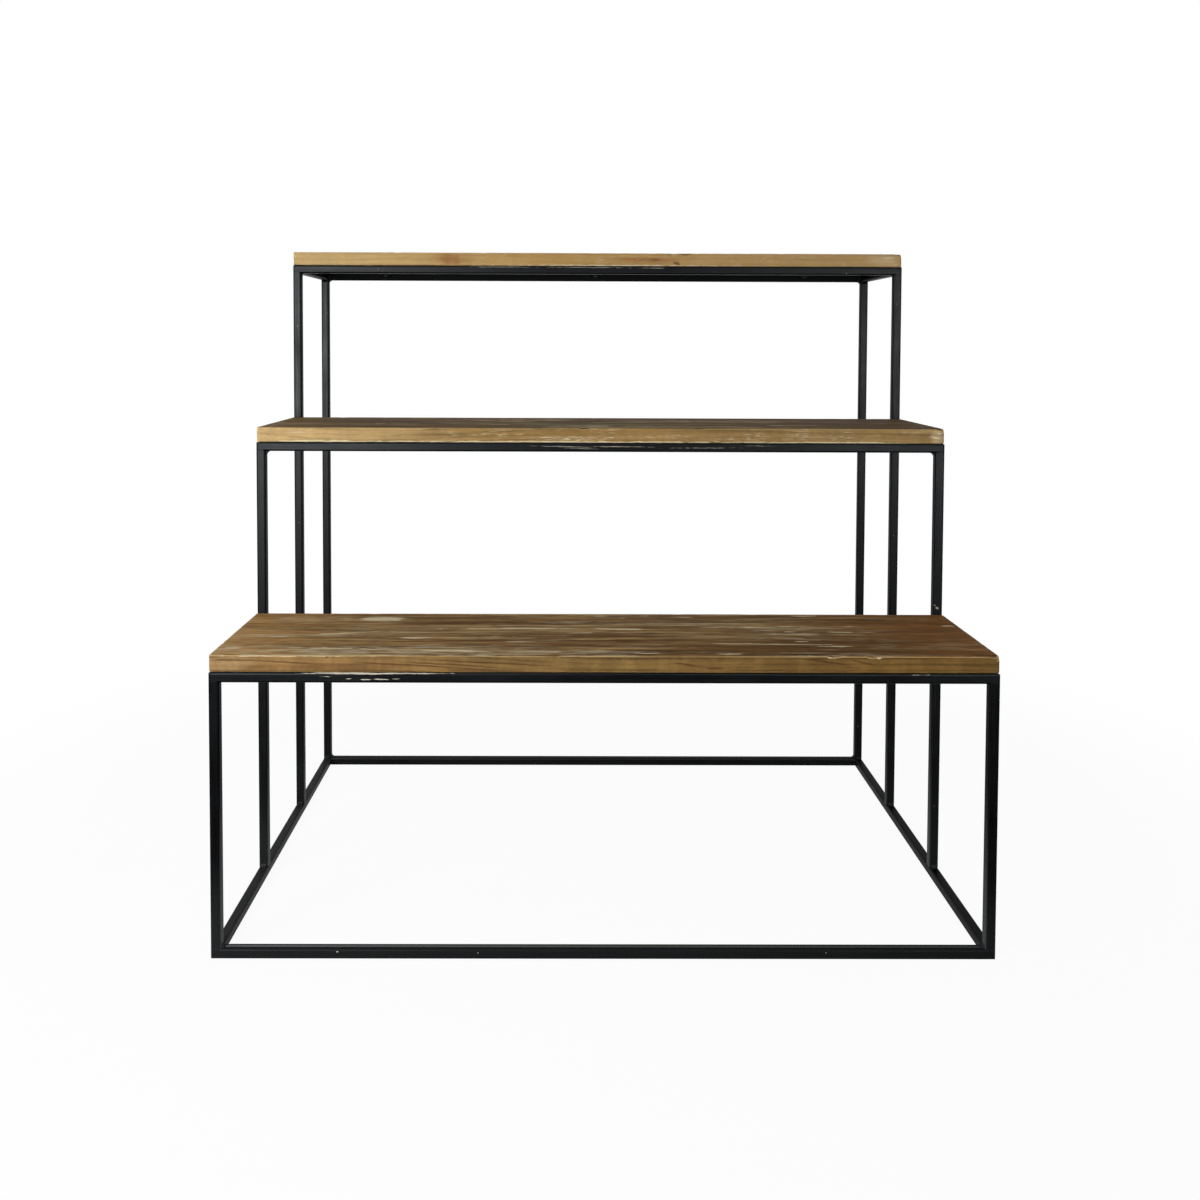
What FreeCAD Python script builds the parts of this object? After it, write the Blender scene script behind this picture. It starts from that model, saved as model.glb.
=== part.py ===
import FreeCAD, Part
import os

# Three-tier display stand: a welded frame of square steel tube that carries three equal wooden boards.
# Lengths are in millimetres. X runs across the stand, Y from its front to its back, Z up from the floor.
# The origin lies on the floor under the middle of the stand.

# Whole stand
overall_width = 749.3
tier_depth = 152.4
lower_top_height = 292.1
tier_rise = 203.2

# Square tube of the frame
tube_size = 10.0
tube_wall = 1.2
tube_corner_radius = 2.0

# Wooden boards, which stand a little back from the frame's front and clear of the legs behind them
board_thickness = 15.9
board_front_setback = 1.5
board_rear_clearance = 0.5
board_corner_radius = 3.0
board_edge_radius = 0.8

# Fixing tabs, welded inside the tier rings flush with their tops
tab_width = 20.0
tab_depth = 18.0
tab_thickness = 2.5
tab_corner_radius = 4.0
tab_end_inset = 90.0
tabs_per_rail = 3
tab_hole_clearance = 0.4

# Pan head wood screws, driven up through the tabs
screw_diameter = 3.5
screw_length = 12.7
screw_tip_length = 3.0
screw_tip_end_diameter = 0.6
screw_head_diameter = 7.0
screw_head_height = 2.6
screw_head_edge_radius = 1.2
recess_width = 1.1
recess_length = 3.8
recess_depth = 1.5
pilot_clearance = 0.05
pilot_extra_depth = 1.0

# Weld metal: hollow fillets in the inner corners, and seams dressed flush with the tube's faces
weld_leg = 3.5
lower_front_weld_leg = 1.8
middle_front_weld_leg = 5.0
upper_front_weld_leg = 2.2
weld_hollow_share = 0.33
flush_weld_share = 0.85

# How far a cut runs past the face that it opens
cut_overrun = 1.0

# Least cosine between two directions that count as the same
alignment_share = 0.99

tier_names = ("lower", "middle", "upper")
leg_row_names = ("front", "second", "third", "rear")
side_signs = {"left": -1, "right": 1}

# Places that follow from the sizes above
overall_depth = len(tier_names) * tier_depth
half_width = overall_width / 2
front_y = -overall_depth / 2
rear_y = overall_depth / 2
inner_x = half_width - tube_size
flat_width = tube_size - 2 * tube_corner_radius
flush_weld_size = flush_weld_share * tube_corner_radius
screw_radius = screw_diameter / 2
front_weld_legs = (lower_front_weld_leg, middle_front_weld_leg, upper_front_weld_leg)

X_AXIS = FreeCAD.Vector(1, 0, 0)
Y_AXIS = FreeCAD.Vector(0, 1, 0)
Z_AXIS = FreeCAD.Vector(0, 0, 1)


def block(low, high):
    """Plain block between its lowest and its highest corner."""
    size = high.sub(low)
    return Part.makeBox(size.x, size.y, size.z, low)


def edges_along(shape, direction):
    """Straight edges of a block that run along a direction."""
    return [edge for edge in shape.Edges
            if abs(edge.tangentAt(edge.FirstParameter).dot(direction)) > alignment_share]


def rounded_bar(low, high, direction, radius):
    """Block whose four edges along a direction are rounded."""
    bar = block(low, high)
    return bar.makeFillet(radius, edges_along(bar, direction))


def tube_bore(low, high, direction):
    """Hollow of a tube that lies between two corners along a direction, run past both its ends."""
    across = FreeCAD.Vector(1, 1, 1).sub(direction)
    inset = across * tube_wall - direction * cut_overrun
    return block(low.add(inset), high.sub(inset))


def trapezoid(points, low_z, high_z):
    """Upright prism over an outline in the floor plane."""
    corners = [FreeCAD.Vector(x, y, low_z) for x, y in points]
    outline = Part.makePolygon(corners + corners[:1])
    return Part.Face(outline).extrude(Z_AXIS * (high_z - low_z))


class Ring:
    """Rectangle of four mitred tubes, as under a board or on the floor."""

    def __init__(self, name, near_y, far_y, low_z):
        self.name = name
        self.near_y = near_y
        self.far_y = far_y
        self.low_z = low_z
        self.high_z = low_z + tube_size
        self.bars = self.outer_bars()

    def mitred(self, bar, points):
        """Bar trimmed to its mitres and to the ring's rounded outer corners."""
        low = FreeCAD.Vector(-half_width, self.near_y, self.low_z)
        high = FreeCAD.Vector(half_width, self.far_y, self.high_z)
        outline = rounded_bar(low, high, Z_AXIS, tube_corner_radius)
        return bar.common(trapezoid(points, self.low_z, self.high_z)).common(outline)

    def outer_bars(self):
        """The four tubes before they are bored, by rail name, each with its corners and direction."""
        bars = {}
        for side, edge_y, inward in (("front", self.near_y, 1), ("rear", self.far_y, -1)):
            inside_y = edge_y + inward * tube_size
            low = FreeCAD.Vector(-half_width, min(edge_y, inside_y), self.low_z)
            high = FreeCAD.Vector(half_width, max(edge_y, inside_y), self.high_z)
            points = ((-half_width, edge_y), (half_width, edge_y),
                      (inner_x, inside_y), (-inner_x, inside_y))
            bar = rounded_bar(low, high, X_AXIS, tube_corner_radius)
            bars[side] = (self.mitred(bar, points), low, high, X_AXIS)
        for side, sign in side_signs.items():
            edge_x = sign * half_width
            inside_x = sign * inner_x
            low = FreeCAD.Vector(min(edge_x, inside_x), self.near_y, self.low_z)
            high = FreeCAD.Vector(max(edge_x, inside_x), self.far_y, self.high_z)
            points = ((edge_x, self.near_y), (edge_x, self.far_y),
                      (inside_x, self.far_y - tube_size), (inside_x, self.near_y + tube_size))
            bar = rounded_bar(low, high, Y_AXIS, tube_corner_radius)
            bars[side] = (self.mitred(bar, points), low, high, Y_AXIS)
        return bars

    def outer_shapes(self):
        """Outer forms of the four tubes, for trimming what lies against them."""
        return [bar for bar, low, high, direction in self.bars.values()]

    def rails(self):
        """The four hollow rails by node name."""
        made = {}
        for side, (bar, low, high, direction) in self.bars.items():
            made[f"{self.name}_{side}_rail"] = bar.cut(tube_bore(low, high, direction))
        return made

    def corner_welds(self):
        """Upright fillets in the ring's four inner corners."""
        seam_z = self.low_z + tube_corner_radius
        welds = []
        for sign in side_signs.values():
            for seam_y, inward in ((self.near_y + tube_size, 1), (self.far_y - tube_size, -1)):
                corner = FreeCAD.Vector(sign * inner_x, seam_y, seam_z)
                welds.append(fillet_weld(corner, Z_AXIS * flat_width, X_AXIS * -sign, Y_AXIS * inward))
        return welds


class Leg:
    """Upright tube that stands on the base ring and carries a tier ring."""

    def __init__(self, row, side, near_y, high_z):
        self.row = row
        self.side = side
        self.sign = side_signs[side]
        self.near_y = near_y
        self.far_y = near_y + tube_size
        self.low_x = min(self.sign * half_width, self.sign * inner_x)
        self.high_x = self.low_x + tube_size
        self.low_z = tube_size
        self.high_z = high_z

    def corners(self, low_z, high_z):
        """Lowest and highest corner of a length of the leg."""
        low = FreeCAD.Vector(self.low_x, self.near_y, low_z)
        high = FreeCAD.Vector(self.high_x, self.far_y, high_z)
        return low, high

    def bar(self, low_z, high_z):
        """Outer form of a length of the leg."""
        low, high = self.corners(low_z, high_z)
        return rounded_bar(low, high, Z_AXIS, tube_corner_radius)

    def tube(self):
        """The hollow leg."""
        low, high = self.corners(self.low_z, self.high_z)
        return self.bar(self.low_z, self.high_z).cut(tube_bore(low, high, Z_AXIS))

    def end_fillets(self, seam_z, away, rail_in_front, rail_behind, across_leg):
        """Fillets between one end of the leg and the rails that pass it; the one across has its own leg."""
        welds = []
        seam_x = self.low_x + tube_corner_radius
        if rail_in_front:
            corner = FreeCAD.Vector(seam_x, self.near_y, seam_z)
            welds.append(fillet_weld(corner, X_AXIS * flat_width, Y_AXIS * -1, away))
        if rail_behind:
            corner = FreeCAD.Vector(seam_x, self.far_y, seam_z)
            welds.append(fillet_weld(corner, X_AXIS * flat_width, Y_AXIS, away))
        if across_leg:
            corner = FreeCAD.Vector(self.sign * inner_x, self.near_y + tube_corner_radius, seam_z)
            welds.append(fillet_weld(corner, Y_AXIS * flat_width, X_AXIS * -self.sign, away, across_leg))
        return welds

    def flush_seam(self, low_z, ring):
        """Weld dressed flush in the groove between the leg's end and the rounded edges of a ring."""
        low, high = self.corners(low_z, low_z + flush_weld_size)
        inset = FreeCAD.Vector(flush_weld_size, flush_weld_size, -cut_overrun)
        filler = self.bar(low_z, low_z + flush_weld_size).cut(block(low.add(inset), high.sub(inset)))
        for shape in ring.outer_shapes():
            filler = filler.cut(shape)
        return filler.Solids


def fillet_weld(corner, seam, first, second, leg=weld_leg):
    """Weld in a corner between two faces, its surface hollow, along a seam."""
    start = corner.add(first * leg)
    middle = corner.add((first + second) * (weld_hollow_share * leg))
    end = corner.add(second * leg)
    edges = [Part.LineSegment(corner, start).toShape(),
             Part.Arc(start, middle, end).toShape(),
             Part.LineSegment(end, corner).toShape()]
    return Part.Face(Part.Wire(edges)).extrude(seam)


def leg_row_y(row_index):
    """Front face of a row of legs; the last row ends in line with the back of the base."""
    if row_index == len(tier_names):
        return rear_y - tube_size
    return front_y + row_index * tier_depth


def tier_top_z(tier_index):
    """Height of a board's top above the floor."""
    return lower_top_height + tier_index * tier_rise


def tier_ring(tier_index):
    """Ring of tubes under a board."""
    near_y = leg_row_y(tier_index)
    low_z = tier_top_z(tier_index) - board_thickness - tube_size
    return Ring(f"{tier_names[tier_index]}_tier", near_y, near_y + tier_depth, low_z)


def fixing_places(ring):
    """Centre of each tab on the ring's top level, with the direction from its rail to the inside."""
    first_x = -half_width + tab_end_inset
    pitch = (overall_width - 2 * tab_end_inset) / max(tabs_per_rail - 1, 1)
    reach = tube_size + tab_depth / 2
    places = []
    for rail_y, inward in ((ring.near_y, 1), (ring.far_y, -1)):
        for index in range(tabs_per_rail):
            centre = FreeCAD.Vector(first_x + index * pitch, rail_y + inward * reach, ring.high_z)
            places.append((centre, inward))
    return places


def fixing_tab(centre, inward):
    """Flat steel tab with its free corners rounded and a screw hole through it."""
    half_size = FreeCAD.Vector(tab_width / 2, tab_depth / 2, 0)
    low = centre.sub(half_size).sub(Z_AXIS * tab_thickness)
    plate = block(low, centre.add(half_size))
    free_y = centre.y + inward * tab_depth / 2
    free_edges = [edge for edge in edges_along(plate, Z_AXIS)
                  if edge.CenterOfMass.y * inward > centre.y * inward]
    plate = plate.makeFillet(tab_corner_radius, free_edges)
    hole_radius = screw_radius + tab_hole_clearance
    hole_foot = centre.sub(Z_AXIS * (tab_thickness + cut_overrun))
    return plate.cut(Part.makeCylinder(hole_radius, tab_thickness + 2 * cut_overrun, hole_foot, Z_AXIS))


def tab_weld(centre, inward):
    """Fillet under a tab, against the inner face of its rail."""
    corner = FreeCAD.Vector(centre.x - tab_width / 2 + weld_leg, centre.y - inward * tab_depth / 2,
                            centre.z - tab_thickness)
    return fillet_weld(corner, X_AXIS * (tab_width - 2 * weld_leg), Y_AXIS * inward, Z_AXIS * -1)


def wood_screw(centre):
    """Pan head screw that bears on the underside of its tab, with a cross recess in the head."""
    seat = centre.sub(Z_AXIS * tab_thickness)
    head = Part.makeCylinder(screw_head_diameter / 2, screw_head_height, seat, Z_AXIS * -1)
    low_rim = [edge for edge in head.Edges if edge.BoundBox.ZMax < seat.z - screw_head_height / 2]
    head = head.makeFillet(screw_head_edge_radius, low_rim)
    shank_length = screw_length - screw_tip_length
    shank = Part.makeCylinder(screw_radius, shank_length, seat, Z_AXIS)
    tip_foot = seat.add(Z_AXIS * shank_length)
    tip = Part.makeCone(screw_radius, screw_tip_end_diameter / 2, screw_tip_length, tip_foot, Z_AXIS)
    screw = head.fuse([shank, tip]).removeSplitter()
    recess_top = seat.z - screw_head_height + recess_depth
    for along_x, along_y in ((recess_length, recess_width), (recess_width, recess_length)):
        low = FreeCAD.Vector(seat.x - along_x / 2, seat.y - along_y / 2,
                             seat.z - screw_head_height - cut_overrun)
        high = FreeCAD.Vector(seat.x + along_x / 2, seat.y + along_y / 2, recess_top)
        screw = screw.cut(block(low, high))
    return screw


def board(ring):
    """Wooden board on a ring, with rounded corners and edges and a blind pilot hole over each tab."""
    low = FreeCAD.Vector(-half_width, ring.near_y + board_front_setback, ring.high_z)
    high = FreeCAD.Vector(half_width, ring.far_y - board_rear_clearance, ring.high_z + board_thickness)
    plank = rounded_bar(low, high, Z_AXIS, board_corner_radius)
    level_faces = [face for face in plank.Faces if abs(face.normalAt(0, 0).z) > alignment_share]
    rims = [edge for face in level_faces for edge in face.Edges]
    plank = plank.makeFillet(board_edge_radius, rims)
    pilot_radius = screw_radius + pilot_clearance
    pilot_depth = screw_length - tab_thickness + pilot_extra_depth
    for centre, inward in fixing_places(ring):
        foot = centre.sub(Z_AXIS * cut_overrun)
        plank = plank.cut(Part.makeCylinder(pilot_radius, pilot_depth + cut_overrun, foot, Z_AXIS))
    return plank


def joint_to_next_row(ring, leg):
    """Welds between a ring's rear corner and the leg that rises behind it."""
    underside = FreeCAD.Vector(leg.low_x + tube_corner_radius, ring.far_y, ring.low_z)
    inside = FreeCAD.Vector(leg.sign * inner_x, ring.far_y, ring.low_z + tube_corner_radius)
    welds = [fillet_weld(underside, X_AXIS * flat_width, Y_AXIS * -1, Z_AXIS * -1),
             fillet_weld(inside, Z_AXIS * flat_width, X_AXIS * -leg.sign, Y_AXIS)]
    outer_x = leg.sign * half_width
    deep_x = outer_x - leg.sign * flush_weld_size
    low = FreeCAD.Vector(min(outer_x, deep_x), ring.far_y - flush_weld_size,
                         ring.low_z + tube_corner_radius)
    high = FreeCAD.Vector(max(outer_x, deep_x), ring.far_y + flush_weld_size,
                          ring.high_z - tube_corner_radius)
    filler = block(low, high).cut(leg.bar(leg.low_z, leg.high_z))
    for shape in ring.outer_shapes():
        filler = filler.cut(shape)
    return welds + filler.Solids


def make_legs(rings):
    """All legs by row and side, each up to the underside of the ring that it carries."""
    legs = {}
    for row_index, row in enumerate(leg_row_names):
        carried = rings[min(row_index, len(rings) - 1)]
        for side in side_signs:
            legs[row, side] = Leg(row, side, leg_row_y(row_index), carried.low_z)
    return legs


def leg_foot_welds(legs, base):
    """Welds between the legs and the base ring."""
    welds = []
    for (row, side), leg in legs.items():
        is_front = row == leg_row_names[0]
        is_rear = row == leg_row_names[-1]
        across_leg = weld_leg if is_front or is_rear else 0
        welds += leg.end_fillets(leg.low_z, Z_AXIS, not is_front, not is_rear, across_leg)
        welds += leg.flush_seam(leg.low_z - flush_weld_size, base)
    return welds


def tier_welds(tier_index, rings, legs):
    """Welds of one tier ring: its own corners, its tabs, and the legs under and behind it."""
    ring = rings[tier_index]
    welds = ring.corner_welds()
    welds += [tab_weld(centre, inward) for centre, inward in fixing_places(ring)]
    for side in side_signs:
        front_leg = legs[leg_row_names[tier_index], side]
        welds += front_leg.end_fillets(ring.low_z, Z_AXIS * -1, False, True, front_weld_legs[tier_index])
        welds += front_leg.flush_seam(ring.low_z, ring)
        next_leg = legs[leg_row_names[tier_index + 1], side]
        if tier_index + 1 < len(rings):
            welds += joint_to_next_row(ring, next_leg)
        else:
            welds += next_leg.end_fillets(ring.low_z, Z_AXIS * -1, True, False, weld_leg)
            welds += next_leg.flush_seam(ring.low_z, ring)
    return welds


def build_nodes():
    """Every piece of the stand by node name."""
    base = Ring("base", front_y, rear_y, 0)
    rings = [tier_ring(tier_index) for tier_index in range(len(tier_names))]
    legs = make_legs(rings)

    nodes = dict(base.rails())
    for (row, side), leg in legs.items():
        nodes[f"{row}_{side}_leg"] = leg.tube()
    nodes["base_corner_welds"] = Part.makeCompound(base.corner_welds())
    nodes["leg_foot_welds"] = Part.makeCompound(leg_foot_welds(legs, base))

    for tier_index, tier in enumerate(tier_names):
        ring = rings[tier_index]
        tabs = [fixing_tab(centre, inward) for centre, inward in fixing_places(ring)]
        screws = [wood_screw(centre) for centre, inward in fixing_places(ring)]
        nodes.update(ring.rails())
        nodes[f"{tier}_tier_welds"] = Part.makeCompound(tier_welds(tier_index, rings, legs))
        nodes[f"{tier}_fixing_tabs"] = Part.makeCompound(tabs)
        nodes[f"{tier}_board"] = board(ring)
        nodes[f"{tier}_board_screws"] = Part.makeCompound(screws)
    return nodes


os.makedirs("parts", exist_ok=True)
for node_name, node_shape in build_nodes().items():
    node_shape.exportStep(f"parts/{node_name}.step")
    solid_count = len(node_shape.Solids)
    print(node_name, solid_count, "solids", round(node_shape.Volume), "mm3", node_shape.isValid())
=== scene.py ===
"""Looks of the three-tier display stand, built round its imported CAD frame.

The steel tubes keep their CAD shapes and get a hand-rubbed black paint. The three boards are remodelled
as worn planks, and the weld beads as lumpy ones, each in the place of its CAD node. Lengths are in
metres, but marks, chips and the sizes of random patterns and reliefs are given in millimetres.
"""

import logging
import math
from dataclasses import dataclass, field
from enum import Enum
from typing import Callable, Mapping, Sequence, Union

import bpy
from mathutils import Matrix, Vector

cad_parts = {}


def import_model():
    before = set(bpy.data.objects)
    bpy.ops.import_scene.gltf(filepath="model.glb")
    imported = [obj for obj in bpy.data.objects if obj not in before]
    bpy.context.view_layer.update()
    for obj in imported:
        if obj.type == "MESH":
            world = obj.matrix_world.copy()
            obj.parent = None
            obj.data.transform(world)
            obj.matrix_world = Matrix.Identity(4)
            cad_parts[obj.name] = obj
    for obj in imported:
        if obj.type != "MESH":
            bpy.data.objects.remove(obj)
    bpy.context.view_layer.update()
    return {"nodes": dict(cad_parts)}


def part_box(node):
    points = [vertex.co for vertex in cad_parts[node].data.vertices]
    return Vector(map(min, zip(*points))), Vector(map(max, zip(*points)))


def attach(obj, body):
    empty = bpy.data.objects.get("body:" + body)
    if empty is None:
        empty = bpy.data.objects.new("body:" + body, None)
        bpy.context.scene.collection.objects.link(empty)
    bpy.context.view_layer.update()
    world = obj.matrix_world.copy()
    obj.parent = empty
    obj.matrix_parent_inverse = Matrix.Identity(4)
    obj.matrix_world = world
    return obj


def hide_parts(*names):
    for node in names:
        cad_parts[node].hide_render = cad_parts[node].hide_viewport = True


log = logging.getLogger("display_stand")

Pair = tuple[float, float]
Triple = tuple[float, float, float]
Colour = tuple[float, float, float, float]
Number = Union[float, "Signal"]

MM = 0.001
# Distance within which two points count as one.
SAME_PLACE = 0.01 * MM
# Edges flatter than this look smooth, and edges sharper than the second are the plank's own.
CREASE_ANGLE = math.radians(38)
SHARP_ANGLE = math.radians(60)
# Marks reach this far into a face, and waver this many times further along it than across.
MARK_DEPTH = 4 * MM
MARK_STRETCH = 6
# How far above its floor a relief of separate nicks is fully deep.
NICK_SLOPE = 0.3
PAINT_GLOSS = 0.022
BLACK: Colour = (0.0, 0.0, 0.0, 1.0)
WHITE: Colour = (1.0, 1.0, 1.0, 1.0)
# The curve from screen values to light: a straight toe, then a power.
SCREEN_TOE = 0.04045
SCREEN_TOE_SLOPE = 12.92
SCREEN_LIFT = 0.055
SCREEN_POWER = 2.4


class Tier(Enum):
    """The three shelves of the stand, from the floor up."""

    LOWER = "lower"
    MIDDLE = "middle"
    UPPER = "upper"


class Run(Enum):
    """The direction in which a steel tube runs, which its rub marks follow."""

    ALONG = "along"
    ACROSS = "across"
    UPRIGHT = "upright"


class Face(Enum):
    """The face of a board or rail that a smear lies on."""

    TOP = "top"
    FRONT = "front"


def shade(red: int, green: int, blue: int) -> Colour:
    """A screen colour of 0 to 255 as the linear colour that a shader takes.

    Args:
        red: Red part.
        green: Green part.
        blue: Blue part.

    Returns:
        The linear colour, opaque.
    """
    parts = []
    for part in (red, green, blue):
        share = part / 255
        if share <= SCREEN_TOE:
            parts.append(share / SCREEN_TOE_SLOPE)
        else:
            parts.append(((share + SCREEN_LIFT) / (1 + SCREEN_LIFT)) ** SCREEN_POWER)
    return (parts[0], parts[1], parts[2], 1.0)


@dataclass(frozen=True)
class Signal:
    """One output socket of a material, used like a number in sums."""

    tree: bpy.types.NodeTree
    socket: bpy.types.NodeSocket

    def _math(self, operation: str, first: Number, second: Number) -> "Signal":
        """Adds one Math node.

        Args:
            operation: The Math node's operation.
            first: First value.
            second: Second value.

        Returns:
            The node's result.
        """
        node = self.tree.nodes.new("ShaderNodeMath")
        node.operation = operation
        for place, value in enumerate((first, second)):
            feed(self.tree, node.inputs[place], value)
        return Signal(self.tree, node.outputs[0])

    def __add__(self, other: Number) -> "Signal":
        """This plus another."""
        return self._math("ADD", self, other)

    def __radd__(self, other: Number) -> "Signal":
        """Another plus this."""
        return self._math("ADD", other, self)

    def __sub__(self, other: Number) -> "Signal":
        """This less another."""
        return self._math("SUBTRACT", self, other)

    def __rsub__(self, other: Number) -> "Signal":
        """Another less this."""
        return self._math("SUBTRACT", other, self)

    def __mul__(self, other: Number) -> "Signal":
        """This times another."""
        return self._math("MULTIPLY", self, other)

    def __rmul__(self, other: Number) -> "Signal":
        """Another times this."""
        return self._math("MULTIPLY", other, self)

    def highest(self, other: Number) -> "Signal":
        """The higher of this and another."""
        return self._math("MAXIMUM", self, other)

    def unsigned(self) -> "Signal":
        """This without its sign."""
        return self._math("ABSOLUTE", self, 0.0)

    def fraction(self) -> "Signal":
        """What is left of this after its whole number."""
        return self._math("FRACT", self, 0.0)


def footprint() -> Triple:
    """Half the stand's width, and the depths of its front and its back."""
    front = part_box("base_front_rail")
    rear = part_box("base_rear_rail")
    return front[1][0], front[0][1], rear[1][1]


def feed(tree: bpy.types.NodeTree, socket: bpy.types.NodeSocket, value: object) -> None:
    """Gives an input socket a link or a value.

    Args:
        tree: The node tree of the socket.
        socket: The input socket.
        value: A Signal to link, or the value to set.
    """
    if isinstance(value, Signal):
        tree.links.new(value.socket, socket)
    else:
        socket.default_value = value


@dataclass(frozen=True)
class Smear:
    """A worn or whitened mark on a flat face: a long soft patch, in millimetres.

    Attributes:
        along: Place of its middle, to the right of the stand's middle.
        across: Place of its middle, back from the front of a top or up from the foot of a front.
        length: Its length.
        width: Its width at the middle.
        strength: 1 for a strong mark.
        rise: How far its right end lies further across than its left end.
    """

    along: float
    across: float
    length: float
    width: float
    strength: float = 1.0
    rise: float = 0.0


class Bench:
    """One material in the making: its node tree and its shader."""

    def __init__(self, name: str) -> None:
        """Starts an empty material.

        Args:
            name: Name of the material.
        """
        self.material = bpy.data.materials.new(name)
        self.material.use_nodes = True
        self.tree = self.material.node_tree
        self.tree.nodes.clear()
        self.place = self.node("ShaderNodeTexCoord", {}, {}, "Object")
        self.along, self.across, self.up = self.split(self.place)

    def node(
        self,
        kind: str,
        settings: Mapping[str, object],
        inputs: Mapping[Union[str, int], object],
        output: Union[str, int] = 0,
    ) -> Signal:
        """Adds a node of any type.

        Args:
            kind: The node's type.
            settings: Its settings.
            inputs: Values or links of its sockets, by name or number.
            output: The output wanted.

        Returns:
            That output.
        """
        node = self.tree.nodes.new(kind)
        for key, value in settings.items():
            setattr(node, key, value)
        for key, value in inputs.items():
            feed(self.tree, node.inputs[key], value)
        return Signal(self.tree, node.outputs[output])

    def split(self, vector: Signal) -> tuple[Signal, Signal, Signal]:
        """The three parts of a vector."""
        parts = self.node("ShaderNodeSeparateXYZ", {}, {0: vector})
        outputs = parts.socket.node.outputs
        return tuple(Signal(self.tree, socket) for socket in outputs)

    def join(self, along: Number, across: Number, up: Number) -> Signal:
        """A vector from its three parts."""
        return self.node("ShaderNodeCombineXYZ", {}, {0: along, 1: across, 2: up})

    def vector(self, operation: str, first: object, second: object) -> Signal:
        """A vector worked out from two others."""
        return self.node("ShaderNodeVectorMath", {"operation": operation}, {0: first, 1: second})

    def length(self, vector: Signal) -> Signal:
        """The length of a vector."""
        return self.node("ShaderNodeVectorMath", {"operation": "LENGTH"}, {0: vector}, "Value")

    def facing(self) -> tuple[Signal, Signal, Signal]:
        """How far the surface faces to the right, to the back and up."""
        return self.split(self.node("ShaderNodeTexCoord", {}, {}, "Normal"))

    def shifted(self, size: Triple, shift: Triple = (0, 0, 0)) -> Signal:
        """The object's coordinates in cells of a size.

        Args:
            size: Size of a cell in millimetres, along, across and up.
            shift: How far the pattern is moved, in cells.

        Returns:
            The vector for a texture of scale 1.
        """
        scale = tuple(1 / (part * MM) for part in size)
        return self.node(
            "ShaderNodeMapping", {}, {"Vector": self.place, "Scale": scale, "Location": shift}
        )

    def noise(
        self, size: Triple, shift: Triple = (0, 0, 0), detail: float = 2.0, rough: float = 0.5
    ) -> Signal:
        """A soft random pattern of 0 to 1 whose blotches have a size in each direction.

        Args:
            size: Size of a blotch in millimetres, along, across and up.
            shift: How far the pattern is moved, in blotches.
            detail: Finer layers added.
            rough: Share of the finer layers.

        Returns:
            The value, which lies round 0.5.
        """
        return self.node(
            "ShaderNodeTexNoise",
            {"noise_dimensions": "3D"},
            {"Vector": self.shifted(size, shift), "Scale": 1.0, "Detail": detail, "Roughness": rough},
        )

    def step(self, value: Number, low: float, high: float) -> Signal:
        """A soft step from 0 where the value is low to 1 where it is high."""
        return self.node(
            "ShaderNodeMapRange",
            {"interpolation_type": "SMOOTHSTEP"},
            {"Value": value, "From Min": low, "From Max": high},
        )

    def between(self, value: Number, start: Pair, end: Pair) -> Signal:
        """A soft band that rises to 1 over the first two values and falls to 0 over the others."""
        return self.step(value, *start) * (1 - self.step(value, *end))

    def wisps(self, pattern: Signal, width: float) -> Signal:
        """Thin lines where a random pattern passes through its middle, like stray fibres."""
        return 1 - self.step((pattern - 0.5).unsigned(), 0.3 * width, width)

    def blend(self, share: Number, first: object, second: object) -> Signal:
        """A colour between two, by the share of the second."""
        return self.node(
            "ShaderNodeMix", {"data_type": "RGBA"}, {"Factor": share, 6: first, 7: second}, 2
        )

    def dim(self, colour: Signal, level: Number) -> Signal:
        """A colour made darker or lighter by a level, where 1 leaves it as it is."""
        return self.node(
            "ShaderNodeVectorMath", {"operation": "SCALE"}, {0: colour, "Scale": level}
        )

    def smear(self, mark: Smear, face: Face, corner: Pair, vector: Signal) -> Signal:
        """The soft patch of one mark.

        Args:
            mark: The mark.
            face: The face it lies on.
            corner: Depth of the front, and height of the top face or of the front face's foot.
            vector: The coordinates it is drawn in.

        Returns:
            Its strength, 0 outside it.
        """
        slope = math.atan2(mark.rise, mark.length)
        along, across = mark.along * MM, mark.across * MM
        long, wide = mark.length / 2 * MM, mark.width / 2 * MM
        if face is Face.TOP:
            centre = (along, corner[0] + across, corner[1])
            turn = (0.0, 0.0, slope)
            reach = (long, wide, MARK_DEPTH)
        else:
            centre = (along, corner[0], corner[1] + across)
            turn = (0.0, -slope, 0.0)
            reach = (long, MARK_DEPTH, wide)
        local = self.node(
            "ShaderNodeMapping",
            {"vector_type": "TEXTURE"},
            {"Vector": vector, "Location": centre, "Rotation": turn, "Scale": reach},
        )
        patch = self.node("ShaderNodeTexGradient", {"gradient_type": "SPHERICAL"}, {0: local}, 1)
        return patch * mark.strength

    def smears(self, marks: Sequence[Smear], face: Face, corner: Pair, waver: float) -> Signal:
        """All marks of a face together, with wavering outlines.

        Args:
            marks: The marks.
            face: The face they lie on.
            corner: Depth of the front, and height of the top face or of the front face's foot.
            waver: How far their outlines waver, in millimetres.

        Returns:
            The sum of their strengths.
        """
        wander = self.node(
            "ShaderNodeTexNoise",
            {"noise_dimensions": "3D"},
            {"Vector": self.shifted((18, 5, 5)), "Scale": 1.0, "Detail": 3.0},
            1,
        )
        centred = self.vector("SUBTRACT", wander, (0.5, 0.5, 0.5))
        least = waver * MM
        drift = self.vector("MULTIPLY", centred, (MARK_STRETCH * least, least, least))
        vector = self.vector("ADD", self.place, drift)
        total = self.smear(marks[0], face, corner, vector)
        for mark in marks[1:]:
            total = total + self.smear(mark, face, corner, vector)
        return total

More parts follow.
